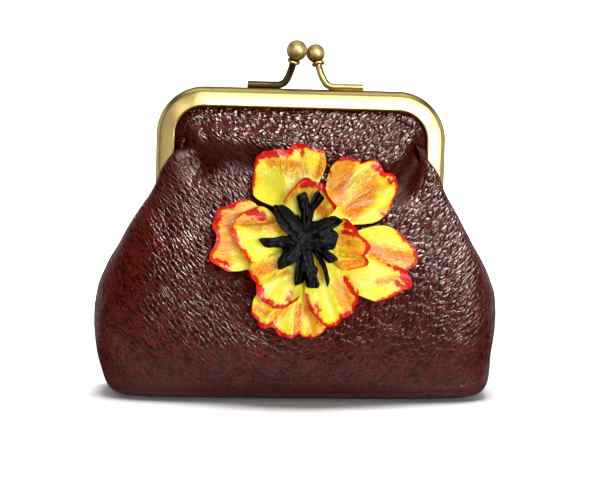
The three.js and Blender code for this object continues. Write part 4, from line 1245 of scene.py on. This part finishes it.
def add_strip(shell, row, seed):
    """One strip of the stamens, from across the middle to its raised tip."""
    degrees, length, tip, root, twist, roundness, bends, widths = row
    angle = math.radians(degrees)
    out = np.linspace(0, 1, STRIP_ROWS)[:, None]
    side = np.linspace(-1, 1, STRIP_COLUMNS)[None, :]
    places = np.linspace(0, 1, len(bends))
    bend = smooth_table(places, bends, out)
    full_width = smooth_table(places, widths, out)
    tip_share = mix(*STRIP_END_SHARE, roundness)
    end = np.sqrt(np.clip(1 - (np.maximum(0, out - 1 + tip_share) / tip_share) ** 2, 0, 1))
    along = mix(-STRIP_BACK, length, out) + twist / STRIP_SLANT_TWIST * side * out**STRIP_SLANT_POWER
    place = columns(along, 0, STRIP_APART * seed)
    wavy = 1 + STRIP_WAVE * smooth_noise(place, STRIP_WAVE_SIZE, seed)
    wavy = wavy + STRIP_SKEW * side * smooth_noise(place, STRIP_SKEW_SIZE, seed + STRIP_SKEW_SEED)
    half = full_width / 2 * mix(mix(*STRIP_END_WIDTH, roundness), 1, end) * wavy
    across = half * side + bend
    top = mix(root, tip, out * out) + STRIP_ARCH * np.sin(math.pi * out)
    fold = STRIP_FOLD * bell(side - twist / STRIP_FOLD_TWIST, STRIP_FOLD_WIDTH)
    dome = STRIP_DOME * (1 - side * side) - fold * ease(out, *STRIP_FOLD_SPAN)
    tilt = np.tan(math.radians(twist)) * half * side * out * STRIP_TILT
    place = columns(along, across, STRIP_APART * seed)
    crease = STRIP_CREASE * smooth_noise(place * STRIP_CREASE_STRETCH, STRIP_CREASE_SIZE, seed)
    crease = crease + STRIP_GRAIN * smooth_noise(place, STRIP_GRAIN_SIZE, seed + STRIP_GRAIN_SEED)
    upper = over_front(angle, along, across, top + dome - STRIP_SINK + tilt + crease)
    under = over_front(angle, along, across, top - STRIP_THICKNESS + tilt * STRIP_UNDER_TILT)
    close_sheet(shell, upper, under, place, place)


def add_knot(shell):
    """The domed knot that stands on the leather between the petals' feet."""
    dome = arc(np.subtract((KNOT_RADIUS, KNOT_TOP), KNOT_ROUND), KNOT_ROUND, 0, POLE, KNOT_STEPS)
    wall = [(KNOT_RADIUS, PIECE_GAP), (KNOT_RADIUS, KNOT_WALL)]
    profile = np.concatenate([wall, dome, [(KNOT_TIP, KNOT_TOP)]])
    cosines, sines = circle(KNOT_SIDES)
    radius, height = profile[:, :1], profile[:, 1:]
    rings = over_front(0, radius * cosines.T, radius * sines.T, height)
    shell.tube(rings, leaf=rings, paint=rings)


def build_flower():
    paint = petal_material()
    pieces = []
    for number, row in enumerate(PETALS):
        node = "petal_" + row[0]
        shell = petal_shell(dict(zip(PETAL_FIELDS, row)), PETAL_SEED + PETAL_SEED_STEP * number)
        pieces.append(make_piece(node + "_leaf", shell, paint, [node], sharp_angle=55))
    shell = Shell("leaf", "paint")
    for number, row in enumerate(STAMENS):
        add_strip(shell, row, STRIP_SEED + number)
    add_knot(shell)
    black = stamen_material()
    pieces.append(make_piece("stamen_strips", shell, black, ["stamens"], sharp_angle=50))
    return pieces


# Stage
PHOTO_WIDTH = 600
CAMERA_TARGET = (1.9, 0, 44.84)
CAMERA_DISTANCE = 800
CAMERA_ELEVATION = math.radians(6)
CAMERA_ROLL = math.radians(0.5)
CAMERA_CLIP = (0.01, 20)  # metres
FOCAL_PIXELS = 2700.8
SENSOR = 36
BLACK_LEVEL = 0.006
ROOM_LIGHT = 0.08

STAGE_HALF = 4  # stage lengths are metres
FLOOR_Z = -0.0002
FLOOR_FRONT_Y = -0.28
GLOW_Y = 0.15  # the floor glows white from here back
BACKDROP_Y = 2
BACKDROP_TOP = 3
AIM = (0, 0, 0.045)
SUN_PLACE, SUN_STRENGTH, SUN_ANGLE = (0.03, 0.12, 1), 3.4, math.radians(26)

# What a light does: it lights what is matt, it is reflected, or both.
BOTH = dict()
MATT = dict(gloss=False)
GLOSS = dict(matt=False)
WARM_GLOSS = dict(matt=False, color=(1, 0.9, 0.86))

# Panels of light: name, the pieces that they light, place, aim, watts, width, height and what they do.
PANELS = [
    ("ceiling", "all", (0, 0.3, 1.2), AIM, 3.6, 1.6, 1.2, BOTH),
    ("fill", "all", (0.4, -1.15, 0.18), AIM, 8.6, 0.5, 0.2, MATT),
    ("front", "metal", (0.14, -1.05, 0.81), AIM, 9, 0.6, 0.3, GLOSS),
    ("front_right", "metal", (0.65, -1, 0.57), AIM, 8, 0.45, 0.4, GLOSS),
    ("right", "metal", (0.9, -0.93, 0.03), AIM, 7.5, 0.35, 0.5, GLOSS),
    ("corner", "metal", (-0.55, -0.95, 0.6), AIM, 1.2, 0.35, 0.3, GLOSS),
    ("wall", "metal", (-0.8, -0.95, 0.12), AIM, 1.25, 0.7, 0.9, BOTH),
    ("low", "metal", (0, -0.75, 0.005), (0, -0.7, 1), 3.6, 1.5, 0.8, GLOSS),
    ("sky", "metal", (0, -0.1, 1.2), AIM, 1.8, 1.2, 0.8, GLOSS),
    ("flower", "flower", (0.25, -1.2, 0.5), AIM, 15, 0.3, 0.15, GLOSS),
    ("grain_high", "leather", (0.45, -0.34, 1.15), AIM, 64, 0.6, 0.5, WARM_GLOSS),
    ("grain_front", "leather", (0.4, -1.01, 0.75), AIM, 11, 0.5, 0.2, WARM_GLOSS),
    ("grain_side", "leather", (0.9, -0.85, 0.5), AIM, 14, 0.3, 0.3, WARM_GLOSS),
    ("foot", "leather", (0, -0.055, 0.0003), (0, -0.055, 1), 0.08, 0.6, 0.05, GLOSS),
    ("grain_back", "leather", (-0.3, 0.95, 0.95), AIM, 40, 0.7, 0.5, WARM_GLOSS),
    ("left_sheen", "leather", (-0.85, 0.65, 0.25), AIM, 1.7, 0.9, 0.9, GLOSS),
    ("left_side", "metal", (-1.05, 0.3, 0.25), AIM, 2.9, 1.3, 0.9, GLOSS),
    ("right_sheen", "leather", (0.85, 0.65, 0.25), AIM, 1.7, 0.9, 0.9, GLOSS),
    ("right_side", "metal", (1.05, 0.3, 0.25), AIM, 2.9, 1.3, 0.9, GLOSS),
]


def white_material(name, glow=0.0):
    material, nodes = new_material(name)
    nodes.finish(
        Base_Color=(0.9, 0.9, 0.9, 1),
        Roughness=0.9,
        Specular_IOR_Level=0.0,
        Emission_Color=(1, 1, 1, 1),
        Emission_Strength=glow,
    )
    return material


def add_sheet(name, near, far, material):
    """A flat sheet of the stage, never reflected, between two lines across it given by their y and z."""
    corners = [(-STAGE_HALF, *near), (STAGE_HALF, *near), (STAGE_HALF, *far), (-STAGE_HALF, *far)]
    mesh = bpy.data.meshes.new(name)
    mesh.from_pydata(corners, [], [(0, 1, 2, 3)])
    mesh.materials.append(material)
    sheet = new_object(name, mesh)
    sheet.visible_glossy = False


def add_light(name, kind, place, target, gloss=True, matt=True, only=None, **settings):
    """A light that looks at a target. Without gloss it isn't reflected; without matt it is reflected alone.

    It lights only the given pieces, or everything.
    """
    light = bpy.data.lights.new(name, kind)
    for key, value in settings.items():
        setattr(light, key, value)
    lamp = new_object(name, light)
    lamp.location = place
    lamp.rotation_euler = (Vector(target) - Vector(place)).to_track_quat("-Z", "Y").to_euler()
    lamp.visible_camera = False
    lamp.visible_glossy = gloss
    lamp.visible_diffuse = matt
    if only:
        lit = bpy.data.collections.new(name + "_pieces")
        for piece in only:
            lit.objects.link(piece)
        lamp.light_linking.receiver_collection = lit


def build_stage(**groups):
    glow = white_material("backdrop_white", 1.0)
    add_sheet("floor", (FLOOR_FRONT_Y, FLOOR_Z), (GLOW_Y, FLOOR_Z), white_material("floor_white"))
    add_sheet("far_floor", (GLOW_Y, FLOOR_Z), (BACKDROP_Y, FLOOR_Z), glow)
    add_sheet("backdrop", (BACKDROP_Y, FLOOR_Z), (BACKDROP_Y, BACKDROP_TOP), glow)
    add_light("top", "SUN", SUN_PLACE, AIM, **MATT, energy=SUN_STRENGTH, angle=SUN_ANGLE)
    for name, lit, place, aim, watts, width, height, role in PANELS:
        size = dict(shape="RECTANGLE", size=width, size_y=height)
        add_light(name, "AREA", place, aim, only=groups.get(lit), energy=watts, **size, **role)
    world = bpy.data.worlds.new("room")
    world.use_nodes = True
    nodes = Nodes(world.node_tree)
    sky = nodes.add("ShaderNodeBackground", {"Color": (1, 1, 1, 1), "Strength": ROOM_LIGHT})
    nodes.add("ShaderNodeOutputWorld", {"Surface": sky.outputs[0]})
    bpy.context.scene.world = world


def build_camera():
    data = bpy.data.cameras.new("camera")
    data.sensor_fit = "HORIZONTAL"
    data.sensor_width = SENSOR
    data.lens = FOCAL_PIXELS * SENSOR / PHOTO_WIDTH
    data.clip_start, data.clip_end = CAMERA_CLIP
    camera = new_object("camera", data)
    back = Vector((0, -math.cos(CAMERA_ELEVATION), math.sin(CAMERA_ELEVATION)))
    camera.location = (Vector(CAMERA_TARGET) + back * CAMERA_DISTANCE) * MM
    facing = (-back).to_track_quat("-Z", "Y").to_matrix().to_4x4()
    camera.rotation_euler = (facing @ Matrix.Rotation(CAMERA_ROLL, 4, "Z")).to_euler()
    bpy.context.scene.camera = camera


build_stage(leather=build_pouch(), metal=build_frame(), flower=build_flower())
build_camera()
view = bpy.context.scene.view_settings
view.view_transform = "Standard"
view.use_curve_mapping = True
view.curve_mapping.black_level = (BLACK_LEVEL,) * 3
view.curve_mapping.update()
